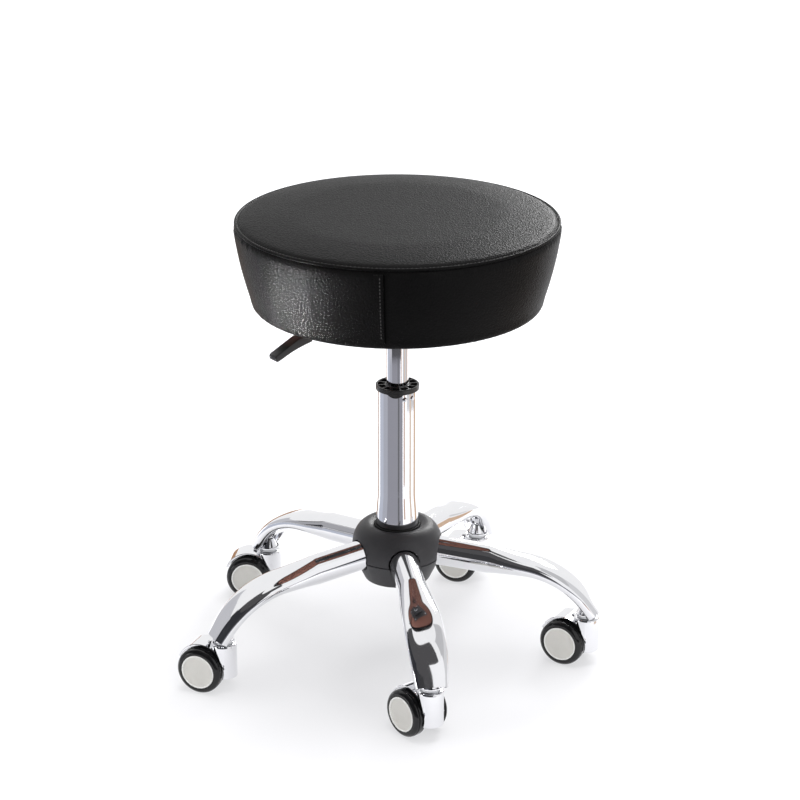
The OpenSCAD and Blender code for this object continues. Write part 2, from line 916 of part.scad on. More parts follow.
// Point on the tube's axis at that distance
function leg_axis(l) =
  let (s = leg_slope(l))
  l < leg_straight_l ? bend_start - (leg_straight_l - l) * [cos(s), -sin(s)]
  : l > leg_straight_l + leg_bend_l ? bend_end + (l - leg_straight_l - leg_bend_l) * [cos(s), -sin(s)]
  : bend_centre + leg_bend_r * [sin(s), cos(s)];

function half_w(t) = mix(tube_r, tip_half_w, t) + press_bulge * sin(180 * t);
function half_h(t) = tip_half_h + (tube_r - tip_half_h) * pow(1 - t, press_rate);
function rounded(v, e) = sign(v) * pow(abs(v), e);

// Section of the tube at a share of the pressed stretch, inset by a wall
function section(t, inset) =
  let (e = 2 / (2 + press_square * t))
  [for (k = [0 : leg_sides - 1]) let (a = 360 * k / leg_sides)
    [(half_w(t) - inset) * rounded(cos(a), e), (half_h(t) - inset) * rounded(sin(a), e)]];

function pressed_ring(t, inset) =
  let (l = t * leg_press_l,
       s = leg_slope(l),
       c = leg_axis(l))
  [for (p = section(t, inset)) [c[0] + p[1] * sin(s), p[0], c[1] + p[1] * cos(s)]];

function coped_ring(inset) =
  [for (p = section(0, inset)) let (r = sqrt(pow(core_r + seat_gap, 2) - pow(p[0], 2)))
    [r, p[0], leg_axis_h - r * tan(leg_fall) + p[1] / cos(leg_fall)]];

function skin(inset) =
  concat(coped_ring(inset), [for (i = [0 : leg_rings - 1]) each pressed_ring(i / (leg_rings - 1), inset)]);

// Triangles between two rows of points that start at given indices
function strip(a, b) =
  [for (k = [0 : leg_sides - 1]) let (m = (k + 1) % leg_sides)
    each [[a + k, a + m, b + m], [a + k, b + m, b + k]]];

module leg_tube() {
  rows = leg_rings + 1;
  inner = rows * leg_sides;
  polyhedron(
    points = concat(skin(0), skin(leg_wall)),
    faces = concat(
      [for (i = [0 : rows - 2]) each strip(i * leg_sides, (i + 1) * leg_sides)],
      [for (i = [0 : rows - 2]) each strip(inner + (i + 1) * leg_sides, inner + i * leg_sides)],
      strip(inner, 0),
      strip((rows - 1) * leg_sides, inner + (rows - 1) * leg_sides)));
}

// Open arch in the underside of the tip, where the stem socket stands
module tip_notch() {
  end = leg_axis(leg_press_l) + tip_half_h * [sin(leg_tip_fall), cos(leg_tip_fall)];
  translate([end[0], 0, end[1]])
    rotate([0, leg_tip_fall, 0])
      translate([-notch_l + notch_half_w, 0, -2 * tip_half_h - 2 * tube_r]) {
        cylinder(r = notch_half_w, h = tip_half_h + 2 * tube_r);
        translate([0, -notch_half_w, 0])
          cube([notch_l, 2 * notch_half_w, tip_half_h + 2 * tube_r]);
      }
}

module leg(i) {
  color("#d2d5d8")
    at_leg(i)
      difference() {
        leg_tube();
        tip_notch();
      }
}

stem_bore_h = dome_z - bore_roof - stem_socket_z;

// Bell-shaped sockets welded in the leg tips
module stem_sockets() {
  cone_z = stem_socket_z + socket_flange_t;
  neck_z = dome_z - dome_neck;
  color("#b4b7ba")
    for (i = [1 : legs_n])
      at_leg(i)
        translate([stem_circle_r, 0, 0])
          difference() {
            union() {
              translate([0, 0, stem_socket_z])
                cylinder(r = socket_flange_r, h = socket_flange_t);
              translate([0, 0, cone_z])
                cylinder(r1 = cone_foot_r, r2 = cone_top_r, h = neck_z - cone_z);
              translate([0, 0, neck_z])
                cylinder(r = dome_r, h = dome_neck);
              translate([0, 0, dome_z])
                sphere(r = dome_r);
            }
            translate([0, 0, stem_socket_z - over])
              cylinder(r = stem_r + run_gap, h = stem_bore_h + over);
          }
}

// Frame of a caster: stem axis at the origin, axle behind it along -X
module at_caster(i) {
  at_leg(i)
    translate([stem_circle_r, 0, 0])
      rotate([0, 0, caster_yaw[i - 1] - front_az - (i - 1) * leg_step_az])
        children();
}

module across(y, r, h) {
  translate([-caster_trail, y, wheel_r])
    rotate([-90, 0, 0])
      cylinder(r = r, h = h);
}

// Sector of a ring about the axle, of a radius, a thickness inwards and a half width
module hood_sector(r, t, half) {
  translate([-caster_trail, 0, wheel_r])
    rotate([90, 0, 0])
      rotate([0, 0, hood_from])
        rotate_extrude(angle = hood_to - hood_from)
          translate([r - t, -half])
            square([t, 2 * half]);
}

// Round boss with a rounded top, cut back for the wheels
module caster_boss() {
  difference() {
    rotate_extrude() {
      translate([0, boss_foot_z])
        square([boss_r, boss_top_z - boss_round - boss_foot_z]);
      translate([0, boss_foot_z])
        square([boss_r - boss_round, boss_top_z - boss_foot_z]);
      intersection() {
        translate([boss_r - boss_round, boss_top_z - boss_round])
          circle(r = boss_round);
        translate([boss_r - 2 * boss_round, boss_foot_z])
          square([2 * boss_round, boss_top_z - boss_foot_z]);
      }
    }
    for (y = [body_half_w, -body_half_w - wheel_face_y])
      across(y, wheel_r + boss_gap, wheel_face_y);
  }
}

// Die-cast housing: boss in front, web and axle boss between the wheels, hood over them
module caster_housing(i) {
  hood_r = wheel_r + hood_gap + hood_t;
  color("#d6d9dc")
    at_caster(i)
      difference() {
        union() {
          caster_boss();
          across(-body_half_w, wheel_hub_r, 2 * body_half_w);
          across(-web_half_w, web_drop, 2 * web_half_w);
          hood_sector(hood_r - hood_t / 2, hood_r - hood_t / 2, web_half_w);
          hood_sector(hood_r, hood_t, hood_half_w);
          translate([-boss_r - knob_l / 2, -knob_w / 2, wheel_r])
            cube([knob_l, knob_w, boss_top_z - knob_drop - wheel_r]);
        }
        translate([0, 0, boss_foot_z + hood_t])
          cylinder(r = stem_r + run_gap, h = boss_top_z);
        across(-body_half_w - over, axle_r + run_gap, 2 * (body_half_w + over));
      }
}

// Stem with its collar, and the axle
module caster_pins(i) {
  top_z = stem_socket_z + stem_bore_h - seat_gap;
  color("#8f9295")
    at_caster(i) {
      translate([0, 0, boss_foot_z + hood_t + seat_gap])
        cylinder(r = stem_r, h = top_z - boss_foot_z - hood_t - seat_gap);
      translate([0, 0, boss_top_z + collar_gap])
        cylinder(r = collar_r, h = stem_socket_z - swivel_gap - boss_top_z - collar_gap);
      across(-axle_half, axle_r, 2 * axle_half);
    }
}

// Half section of a wheel: radius against distance from the caster's middle
function wheel_half() =
  [[axle_r + run_gap, wheel_in_y], [wheel_hub_r, wheel_in_y], [wheel_hub_r, wheel_web_y],
   [wheel_r - wheel_rim_t, wheel_web_y], [wheel_r - wheel_rim_t, wheel_in_y],
   [wheel_r - wheel_edge, wheel_in_y], [wheel_r, wheel_in_y + wheel_edge],
   [wheel_r, wheel_groove_y - wheel_groove], [wheel_r - wheel_groove, wheel_groove_y],
   [wheel_r - wheel_groove / 2, wheel_groove_y + wheel_groove],
   [wheel_r - wheel_bevel / 2, wheel_face_y - wheel_bevel / 2],
   [wheel_r - wheel_bevel, wheel_face_y - wheel_lip], [wheel_r - wheel_bevel - wheel_lip, wheel_face_y],
   [cap_r + run_gap, wheel_face_y],
   [cap_r + run_gap, cap_ledge_y], [cap_r - cap_ledge_w, cap_ledge_y],
   [cap_r - cap_ledge_w, wheel_web_y + wheel_web_t], [wheel_hub_r, wheel_web_y + wheel_web_t],
   [wheel_hub_r, cap_ledge_y], [axle_r + run_gap, cap_ledge_y]];

// Wheel on one side of a caster: 1 is the near side, -1 the far side
module caster_wheel(i, side) {
  color("#141415")
    at_caster(i)
      translate([-caster_trail, 0, wheel_r])
        rotate([side * 90, 0, 0])
          rotate_extrude()
            polygon(wheel_half());
}

// Pale cap pressed into the wheel's face, with a raised rim
module caster_cap(i, side) {
  color("#d6d4cd")
    at_caster(i)
      translate([-caster_trail, 0, wheel_r])
        rotate([side * 90, 0, 0])
          rotate_extrude()
            polygon([[0, cap_ledge_y], [cap_r, cap_ledge_y], [cap_r, wheel_face_y],
              [cap_r - cap_bead, wheel_face_y + cap_bead], [cap_r - 3 * cap_bead, wheel_face_y + cap_bead],
              [cap_r - 4 * cap_bead, wheel_face_y - cap_dish], [0, wheel_face_y - cap_dish]]);
}

seat_cover();
foam_pad();
seat_board();
underside_lining();
seat_bolts();
seat_plate();
taper_socket();
lever_pin();
lever_arm();
lever_paddle();
release_button();
gas_cylinder();
piston_rod();
rod_clip();
bump_stop();
thrust_washer();
thrust_bearing();
column_tube();
guide_bush();
bush_rivets();
collar_ring();
hub_core();
hub_cover_upper();
hub_cover_lower();
stem_sockets();
leg(1);  // leg_1
leg(2);  // leg_2
leg(3);  // leg_3
leg(4);  // leg_4
leg(5);  // leg_5
caster_housing(1);  // caster_1_housing
caster_pins(1);  // caster_1_pins
caster_wheel(1, 1);  // caster_1_wheel_a
caster_wheel(1, -1);  // caster_1_wheel_b
caster_cap(1, 1);  // caster_1_cap_a
caster_cap(1, -1);  // caster_1_cap_b
caster_housing(2);  // caster_2_housing
caster_pins(2);  // caster_2_pins
caster_wheel(2, 1);  // caster_2_wheel_a
caster_wheel(2, -1);  // caster_2_wheel_b
caster_cap(2, 1);  // caster_2_cap_a
caster_cap(2, -1);  // caster_2_cap_b
caster_housing(3);  // caster_3_housing
caster_pins(3);  // caster_3_pins
caster_wheel(3, 1);  // caster_3_wheel_a
caster_wheel(3, -1);  // caster_3_wheel_b
caster_cap(3, 1);  // caster_3_cap_a
caster_cap(3, -1);  // caster_3_cap_b
caster_housing(4);  // caster_4_housing
caster_pins(4);  // caster_4_pins
caster_wheel(4, 1);  // caster_4_wheel_a
caster_wheel(4, -1);  // caster_4_wheel_b
caster_cap(4, 1);  // caster_4_cap_a
caster_cap(4, -1);  // caster_4_cap_b
caster_housing(5);  // caster_5_housing
caster_pins(5);  // caster_5_pins
caster_wheel(5, 1);  // caster_5_wheel_a
caster_wheel(5, -1);  // caster_5_wheel_b
caster_cap(5, 1);  // caster_5_cap_a
caster_cap(5, -1);  // caster_5_cap_b
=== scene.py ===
"""Round padded salon stool on a gas spring column, with a star base of bent tubes and twin-wheel casters."""

import math

import bmesh
import bpy
from mathutils import Matrix, Vector


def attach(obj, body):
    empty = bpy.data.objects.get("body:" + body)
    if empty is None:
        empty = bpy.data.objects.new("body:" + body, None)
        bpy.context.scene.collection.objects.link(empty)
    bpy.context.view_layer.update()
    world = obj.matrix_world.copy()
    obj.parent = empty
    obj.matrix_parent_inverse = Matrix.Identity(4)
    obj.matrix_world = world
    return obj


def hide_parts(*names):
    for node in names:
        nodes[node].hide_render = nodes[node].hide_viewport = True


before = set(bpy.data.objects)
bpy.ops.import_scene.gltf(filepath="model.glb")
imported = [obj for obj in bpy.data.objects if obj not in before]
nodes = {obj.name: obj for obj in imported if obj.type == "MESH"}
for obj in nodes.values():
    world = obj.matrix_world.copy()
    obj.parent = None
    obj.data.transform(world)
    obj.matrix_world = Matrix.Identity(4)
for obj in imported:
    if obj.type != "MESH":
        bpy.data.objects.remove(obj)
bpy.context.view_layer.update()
scene = bpy.context.scene
scene.view_settings.view_transform = "Standard"


# Camera: stands about three metres off and one and a half up, and looks down on the stool with a long
# lens.
camera_place = (-0.5003, -3.0166, 1.5132)
heading, look_down, roll = math.radians(-9.477), math.radians(20.842), math.radians(0.061)
camera_data = bpy.data.cameras.new("studio_camera")
camera_data.lens = 116.55
camera_data.sensor_width = 36
camera = bpy.data.objects.new("studio_camera", camera_data)
scene.collection.objects.link(camera)
camera.matrix_world = (
    Matrix.Translation(camera_place)
    @ Matrix.Rotation(heading, 4, "Z")
    @ Matrix.Rotation(math.pi / 2 - look_down, 4, "X")
    @ Matrix.Rotation(roll, 4, "Z")
)
scene.camera = camera


# Floor and surroundings: a white paper floor that keeps the stool's soft shadow, deepened by a painted
# shadow where the floor's glow dims towards the middle, white all round, and nothing else in sight.
class Shade:
    """A value or a colour in a node tree, with the sums that a pattern is written in."""

    def __init__(self, tree, socket):
        self.tree = tree
        self.socket = socket

    def add(self, kind, settings, sockets, out=0):
        """A new node: its settings are set first, then each named socket gets its value or its link."""
        node = self.tree.nodes.new(kind)
        for name, value in settings.items():
            setattr(node, name, value)
        for name, value in sockets.items():
            if isinstance(value, Shade):
                self.tree.links.new(value.socket, node.inputs[name])
            else:
                node.inputs[name].default_value = value
        return Shade(self.tree, node.outputs[out])

    def sum(self, operation, first, second):
        return self.add("ShaderNodeMath", {"operation": operation}, {0: first, 1: second})

    def __add__(self, other):
        return self.sum("ADD", self, other)

    __radd__ = __add__

    def __mul__(self, other):
        return self.sum("MULTIPLY", self, other)

    __rmul__ = __mul__

    def between(self, low, high):
        """A colour that goes from low to high as this value goes from 0 to 1."""
        return self.add("ShaderNodeMix", {"data_type": "RGBA"}, {0: self, 6: low, 7: high}, out=2)


def rays(tree, *kinds):
    """One for a ray of the named kinds, and zero for any other."""
    path = tree.nodes.new("ShaderNodeLightPath")
    share = Shade(tree, path.outputs[f"Is {kinds[0]} Ray"])
    for kind in kinds[1:]:
        share = share.sum("MAXIMUM", share, Shade(tree, path.outputs[f"Is {kind} Ray"]))
    return share


room_white, seen_white = 0.40, 0.60
world = bpy.data.worlds.new("studio_white")
world.use_nodes = True
scene.world = world
surroundings = world.node_tree.nodes["Background"]
surroundings.inputs["Color"].default_value = (1, 1, 1, 1)
white = room_white + seen_white * rays(world.node_tree, "Camera", "Glossy", "Transmission")
world.node_tree.links.new(white.socket, surroundings.inputs["Strength"])

paper_lit, paper_seen, paper_glow = (0.72, 0.72, 0.73, 1), (0.28, 0.28, 0.288, 1), (0.985, 0.985, 1.0, 1)
# Painted shadow: the floor's glow is dimmer inside these radii, darkest at the middle under the stool.
glow_from, glow_to = 0.15, 0.75
painted_shadow_glow, glow_full = 0.56, 1.0
bpy.ops.object.select_all(action="DESELECT")
bpy.ops.mesh.primitive_circle_add(vertices=64, radius=9, fill_type="NGON", location=(0, 0, 0))
floor = bpy.context.object
floor.name = "studio_floor"
paper = bpy.data.materials.new("white_paper")
paper.use_nodes = True
paper_tree = paper.node_tree
paper_tree.nodes.remove(paper_tree.nodes["Principled BSDF"])
seen = rays(paper_tree, "Camera", "Glossy", "Transmission")
lit = seen.add("ShaderNodeBsdfDiffuse", {}, {"Color": seen.between(paper_lit, paper_seen)})
spot = Shade(paper_tree, paper_tree.nodes.new("ShaderNodeTexCoord").outputs["Object"])
away = spot.add("ShaderNodeVectorMath", {"operation": "LENGTH"}, {0: spot}, out=1)
# The glow rises with distance from the middle, a painted shadow round the stool.
bright = away.add(
    "ShaderNodeMapRange",
    {},
    {"Value": away, "From Min": glow_from, "From Max": glow_to, "To Min": painted_shadow_glow, "To Max": glow_full},
)
glow = seen.add("ShaderNodeEmission", {}, {"Color": paper_glow, "Strength": bright * seen})
paper_tree.links.new(
    seen.add("ShaderNodeAddShader", {}, {0: lit, 1: glow}).socket,
    paper_tree.nodes["Material Output"].inputs["Surface"],
)
floor.data.materials.append(paper)


# Lamps: a soft light behind on the right, a low soft light on the left, a wide one overhead, a weak fill by
# the camera, and a small spot low on the left for the glint on the seat's band.
def soft_light(name, place, aim, size, power):
    """A lamp at a place in metres, turned to its aim, with its width and height and its watts."""
    data = bpy.data.lights.new(name, "AREA")
    data.shape = "RECTANGLE"
    data.size, data.size_y = size
    data.energy = power
    lamp = bpy.data.objects.new(name, data)
    scene.collection.objects.link(lamp)
    lamp.visible_camera = False
    lamp.location = place
    lamp.rotation_euler = (Vector(aim) - Vector(place)).to_track_quat("-Z", "Y").to_euler()
    return lamp


soft_light("back_right", (1.25, 1.9, 1.35), (0, 0, 0.35), (0.9, 0.6), 32)
soft_light("left_low", (-1.6, -0.35, 0.45), (0, 0, 0.5), (0.45, 0.9), 7)
overhead = soft_light("overhead", (0.38, 0.16, 2.6), (0, 0, 0.3), (2.1, 2.1), 88)
front_fill = soft_light("front_fill", (0.3, -3.0, 1.9), (0, 0, 0.2), (1.6, 1.6), 18)
overhead.visible_glossy = front_fill.visible_glossy = False
glint = soft_light("band_glint", (-0.75, 0.03, 0.03), (-0.158, -0.122, 0.535), (0.05, 0.05), 0.42)
glint.data.spread = math.radians(28)


# Cards: curved cards round the set that glow with their own colour and are seen only in reflections,
# painted reflections in the metal, the vinyl and the plastics. They stand for the dark room behind the
# camera, its grey floor, pale screens and a few brown boards.
def ring_card(name, from_side, to_side, inner, outer, colour):
    """A card between two directions, in degrees to the camera's right, and two edges (radius, height)."""
    bpy.ops.object.select_all(action="DESELECT")
    bpy.ops.mesh.primitive_plane_add(size=1, location=(0, 0, 0))
    made = bpy.context.object
    made.name = name
    bpy.ops.object.mode_set(mode="EDIT")
    bpy.ops.mesh.merge(type="CENTER")
    bpy.ops.transform.translate(value=(inner[0], 0, inner[1]))
    bpy.ops.mesh.extrude_region_move(
        TRANSFORM_OT_translate={"value": (outer[0] - inner[0], 0, outer[1] - inner[1])}
    )
    bpy.ops.mesh.select_all(action="SELECT")
    bpy.ops.mesh.spin(steps=24, angle=math.radians(to_side - from_side), center=(0, 0, 0), axis=(0, 0, -1))
    bpy.ops.object.mode_set(mode="OBJECT")
    made.data.transform(Matrix.Rotation(math.radians(from_side) + heading - math.pi / 2, 4, "Z"))
    painted_reflection_card = bpy.data.materials.new(name)
    painted_reflection_card.use_nodes = True
    tree = painted_reflection_card.node_tree
    tree.nodes.remove(tree.nodes["Principled BSDF"])
    # The card glows in its colour though it is no lamp: a painted reflection.
    plain = Shade(tree, None).add("ShaderNodeEmission", {}, {"Color": (*colour, 1), "Strength": 1.0})
    tree.links.new(plain.socket, tree.nodes["Material Output"].inputs["Surface"])
    made.data.materials.append(painted_reflection_card)
    made.visible_camera = made.visible_diffuse = made.visible_shadow = False


room_r, ceiling_z, sill_z = 3.6, 2.9, 0.1
card_z, board_z = 0.002, 0.0025
hub_r, near_r, middle_r, far_r = 0.44, 1.13, 1.5, 3
ring_card("room_floor_near", -60, 40, (near_r, card_z), (middle_r, card_z), (0.10, 0.10, 0.105))
ring_card("room_floor_far", -100, 40, (middle_r, card_z), (room_r, card_z), (0.25, 0.25, 0.27))
ring_card("room_wall", -80, 40, (room_r, card_z), (room_r, ceiling_z), (0.05, 0.05, 0.053))
ring_card("room_ceiling", -100, 42, (room_r, ceiling_z), (0.95, ceiling_z), (0.085, 0.083, 0.086))
ring_card("room_side_low", -100, -80, (room_r, sill_z), (room_r, 2.0), (0.42, 0.42, 0.44))
ring_card("room_side_high", -104, -80, (room_r, 2.0), (room_r, ceiling_z), (0.05, 0.05, 0.053))
ring_card("grey_doorway", -140, -100, (room_r, sill_z), (room_r, 1.95), (0.60, 0.60, 0.63))
ring_card("dark_screen_left", -90, -25, (0.8, 0.16), (0.8, 0.72), (0.035, 0.036, 0.042))
ring_card("pale_screen_right", 19, 60, (1.05, 0.13), (1.05, 1.1), (1.05, 1.05, 1.06))
ring_card("grey_screen", 62, 122, (room_r, 0.3), (room_r, ceiling_z), (0.74, 0.74, 0.75))
ring_card("grey_screen_top", 62, 122, (room_r, ceiling_z), (1.2, ceiling_z), (0.58, 0.58, 0.59))
ring_card("blue_floor_left", -120, -88, (hub_r, card_z), (far_r, card_z), (0.55, 0.58, 0.67))
ring_card("grey_floor_left", -88, -58, (hub_r, card_z), (near_r, card_z), (0.46, 0.47, 0.53))
ring_card("grey_floor_front", -58, 30, (hub_r, card_z), (near_r, card_z), (0.33, 0.33, 0.37))
ring_card("grey_floor_side", -88, -60, (near_r, card_z), (middle_r, card_z), (0.60, 0.60, 0.64))
ring_card("dark_floor_line", 3, 11, (0.56, board_z), (near_r, board_z), (0.16, 0.16, 0.17))
ring_card("grey_floor_right", 56, 112, (0.9, card_z), (far_r, card_z), (0.70, 0.70, 0.72))
ring_card("brown_floor_left", -168, -142, (0.45, card_z), (far_r, card_z), (0.42, 0.25, 0.15))
ring_card("brown_floor_front", 36, 44, (0.6, board_z), (far_r, board_z), (0.60, 0.42, 0.34))
ring_card("orange_floor_right", 74, 86, (0.4, board_z), (2, board_z), (0.78, 0.62, 0.50))
ring_card("orange_floor_back", 108, 126, (0.45, card_z), (far_r, card_z), (0.70, 0.50, 0.36))


# Hub core: a turned steel boss that the five legs are welded to, painted black. The seat plate and the
# lever's rod are painted the same.
def finish(name, constants):
    """A new finish, with its constants set, and the place on the piece that its patterns follow."""
    material = bpy.data.materials.new(name)
    material.use_nodes = True
    tree = material.node_tree
    shader = tree.nodes["Principled BSDF"]
    for socket, value in constants.items():
        shader.inputs[socket].default_value = value
    place = Shade(tree, tree.nodes.new("ShaderNodeTexCoord").outputs["Object"])
    return material, shader, place


def feed(shader, socket, shade):
    shade.tree.links.new(shade.socket, shader.inputs[socket])


def noise(place, scale, detail=2.0, rough=0.5):
    sockets = {"Vector": place, "Scale": scale, "Detail": detail, "Roughness": rough}
    return place.add("ShaderNodeTexNoise", {}, sockets)


def bump(height, strength, distance):
    return height.add("ShaderNodeBump", {}, {"Strength": strength, "Distance": distance, "Height": height})


def coat(material, *names):
    """Gives a finish to nodes that are shown as they are."""
    for name in names:
        for holder in nodes[name].material_slots:
            holder.material = material


black_paint, shader, place = finish("black_paint", {"Specular IOR Level": 0.5})
orange_peel = noise(place, 900, 3)
feed(shader, "Base Color", noise(place, 60, 3).between((0.014, 0.014, 0.015, 1), (0.024, 0.024, 0.026, 1)))
feed(shader, "Roughness", 0.34 + 0.12 * noise(place, 140, 2))
feed(shader, "Normal", bump(orange_peel, 0.25, 0.0003))
coat(black_paint, "hub_core", "seat_plate", "lever_arm")


# Legs: round steel tubes, bent down and pressed to an oval at the tip, open underneath for the caster
# socket, chromed all over and welded to the hub core.
mm = 0.001
leg_sides, leg_rings = 64, 46
tube_r, tube_wall, hub_core_r = 19, 1.8, 36.1
tip_half_h, tip_spread, press_bulge, press_curve, tip_square = 9.3, 1.5, 5.2, 2.8, 0.8
leg_end_z, press_at = 76.5, 118
leg_axis_z, leg_fall, tip_fall = 152, math.radians(6.6), math.radians(55.945)
bend_at, bend_r = 166.25, 113
notch_r, notch_deep = 16.5, 48
bend_x = bend_at - bend_r * math.sin(leg_fall)
bend_z = leg_axis_z - bend_at * math.tan(leg_fall) - bend_r * math.cos(leg_fall)
bend_from = (bend_x + bend_r * math.sin(leg_fall), bend_z + bend_r * math.cos(leg_fall))
bend_to = (bend_x + bend_r * math.sin(tip_fall), bend_z + bend_r * math.cos(tip_fall))
straight_l = (bend_from[0] - press_at) / math.cos(leg_fall)
bent_l = bend_r * (tip_fall - leg_fall)
end_drop = bend_to[1] - leg_end_z + tip_half_h * math.cos(tip_fall)
leg_l = straight_l + bent_l + end_drop / math.sin(tip_fall)


def leg_angle(i):
    """Direction of a leg, the first one to the front."""
    return math.radians(-90 + 72 * i)


def leg_line(along):
    """Slope of the leg and a point on its axis, at a distance along the pressed stretch."""
    if along < straight_l:
        back = straight_l - along
        return leg_fall, bend_from[0] - back * math.cos(leg_fall), bend_from[1] + back * math.sin(leg_fall)
    if along > straight_l + bent_l:
        on = along - straight_l - bent_l
        return tip_fall, bend_to[0] + on * math.cos(tip_fall), bend_to[1] - on * math.sin(tip_fall)
    slope = leg_fall + (along - straight_l) / bend_r
    return slope, bend_x + bend_r * math.sin(slope), bend_z + bend_r * math.cos(slope)


def leg_section(share):
    """Outline of the tube, which goes from round to a squarish oval."""
    half_w = tube_r + tip_spread * share + press_bulge * math.sin(math.pi * share)
    half_h = tip_half_h + (tube_r - tip_half_h) * (1 - share) ** press_curve
    power = 2 / (2 + tip_square * share)
    points = []
    for k in range(leg_sides):
        c, s = math.cos(math.tau * k / leg_sides), math.sin(math.tau * k / leg_sides)
        across, up = math.copysign(abs(c) ** power, c), math.copysign(abs(s) ** power, s)
        points.append((half_w * across, half_h * up))
    return points


def leg_ring(share):
    slope, x, z = leg_line(share * leg_l)
    return [(x + up * math.sin(slope), across, z + up * math.cos(slope)) for across, up in leg_section(share)]


def coped_ring():
    """The leg's inner end, coped to the round of the hub core."""
    ring = []
    for across, up in leg_section(0):
        out = math.sqrt(hub_core_r**2 - across**2)
        ring.append((out, across, leg_axis_z - out * math.tan(leg_fall) + up / math.cos(leg_fall)))
    return ring


def drawn(name, rings):
    """A tube drawn out ring by ring, each ring laid on its own points in millimetres."""
    bpy.ops.object.select_all(action="DESELECT")
    bpy.ops.mesh.primitive_circle_add(vertices=len(rings[0]), radius=mm, location=(0, 0, 0))
    piece = bpy.context.object
    piece.name = piece.data.name = name
    bpy.ops.object.mode_set(mode="EDIT")
    laid = None
    for ring in rings:
        points = [Vector(point) * mm for point in ring]
        if laid:
            bpy.ops.mesh.extrude_region_move()
        mesh = bmesh.from_edit_mesh(piece.data)
        loose = [corner for corner in mesh.verts if corner.select]
        for k, corner in enumerate(loose):
            if laid:
                k = min(range(len(laid)), key=lambda n: (corner.co - laid[n]).length_squared)
            corner.co = points[k]
        laid = points
    bpy.ops.mesh.select_all(action="SELECT")
    bpy.ops.mesh.normals_make_consistent(inside=False)
    bpy.ops.object.mode_set(mode="OBJECT")
    return piece


def picked(*pieces):
    """Selects these pieces alone, the first as the active one."""
    bpy.ops.object.select_all(action="DESELECT")
    for piece in pieces:
        piece.select_set(True)
    bpy.context.view_layer.objects.active = pieces[0]


def apply_all(piece):
    picked(piece)
    for modifier in list(piece.modifiers):
        bpy.ops.object.modifier_apply(modifier=modifier.name)


def joined(piece, other, operation):
    """piece cut by, or made one with, another shape, which is used up."""
    modifier = piece.modifiers.new("joined", "BOOLEAN")
    modifier.operation = operation
    modifier.object = other
    modifier.solver = "EXACT"
    apply_all(piece)
    bpy.data.objects.remove(other)


def smoothed(piece, degrees=35):
    picked(piece)
    bpy.ops.object.shade_smooth_by_angle(angle=math.radians(degrees))
    return piece


def another(piece, name, place):
    """A copy with its own mesh, moved in its mesh."""
    twin = piece.copy()
    twin.data = piece.data.copy()
    twin.name = twin.data.name = name
    scene.collection.objects.link(twin)
    twin.data.transform(place)
    return twin


def block(size, middle):
    """A plain block with its size and its middle in millimetres."""
    bpy.ops.object.select_all(action="DESELECT")
    at, by = [v * mm for v in middle], [v * mm for v in size]
    bpy.ops.mesh.primitive_cube_add(size=1, location=at, scale=by)
    bpy.ops.object.transform_apply(location=True, rotation=True, scale=True)
    return bpy.context.object


def bar(radius, length, middle, sides):
    """A plain upright bar with its sizes and its middle in millimetres."""
    bpy.ops.object.select_all(action="DESELECT")
    at = [v * mm for v in middle]
    bpy.ops.mesh.primitive_cylinder_add(vertices=sides, radius=radius * mm, depth=length * mm, location=at)
    bpy.ops.object.transform_apply(location=True, rotation=True, scale=True)
    return bpy.context.object


chrome, shader, place = finish("chrome", {"Metallic": 1.0})
haze = noise(place, 35, 4, 0.6)
feed(shader, "Base Color", haze.between((0.80, 0.805, 0.83, 1), (0.87, 0.87, 0.885, 1)))
feed(shader, "Roughness", 0.035 + 0.05 * haze)
feed(shader, "Normal", bump(noise(place, 45, 1), 0.05, 0.0006))

leg = drawn("leg", [coped_ring()] + [leg_ring(i / leg_rings) for i in range(leg_rings + 1)])
wall = leg.modifiers.new("wall", "SOLIDIFY")
wall.thickness = tube_wall * mm
wall.offset = -1
apply_all(leg)
end_slope, end_x, end_z = leg_line(leg_l)
tip_frame = Matrix.Translation((end_x * mm, 0, end_z * mm)) @ Matrix.Rotation(end_slope, 4, "Y")
arch = bar(notch_r, notch_deep, (-22.5, 0, -notch_deep / 2), 64)
mouth = block((39, 2 * notch_r, notch_deep), (-3, 0, -notch_deep / 2))
for tool in (arch, mouth):
    tool.data.transform(tip_frame)
    joined(leg, tool, "DIFFERENCE")
leg.data.materials.append(chrome)
smoothed(leg, 40)
for i in range(5):
    made = another(leg, f"chromed_leg_{i + 1}", Matrix.Rotation(leg_angle(i), 4, "Z"))
    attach(made, "base")
    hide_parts(f"leg_{i + 1}")
bpy.data.objects.remove(leg)


# Stem sockets: bell-shaped turned steel, welded inside the leg tips, bored for the caster stems, and
# chromed with the legs.
stem_r_mm = 246.5


def arc(middle, radius, start, end, steps):
    """Points on an arc, from one angle in degrees to another."""
    points = []
    for k in range(steps + 1):
        angle = math.radians(start + (end - start) * k / steps)
        points.append((middle[0] + radius * math.cos(angle), middle[1] + radius * math.sin(angle)))
    return points


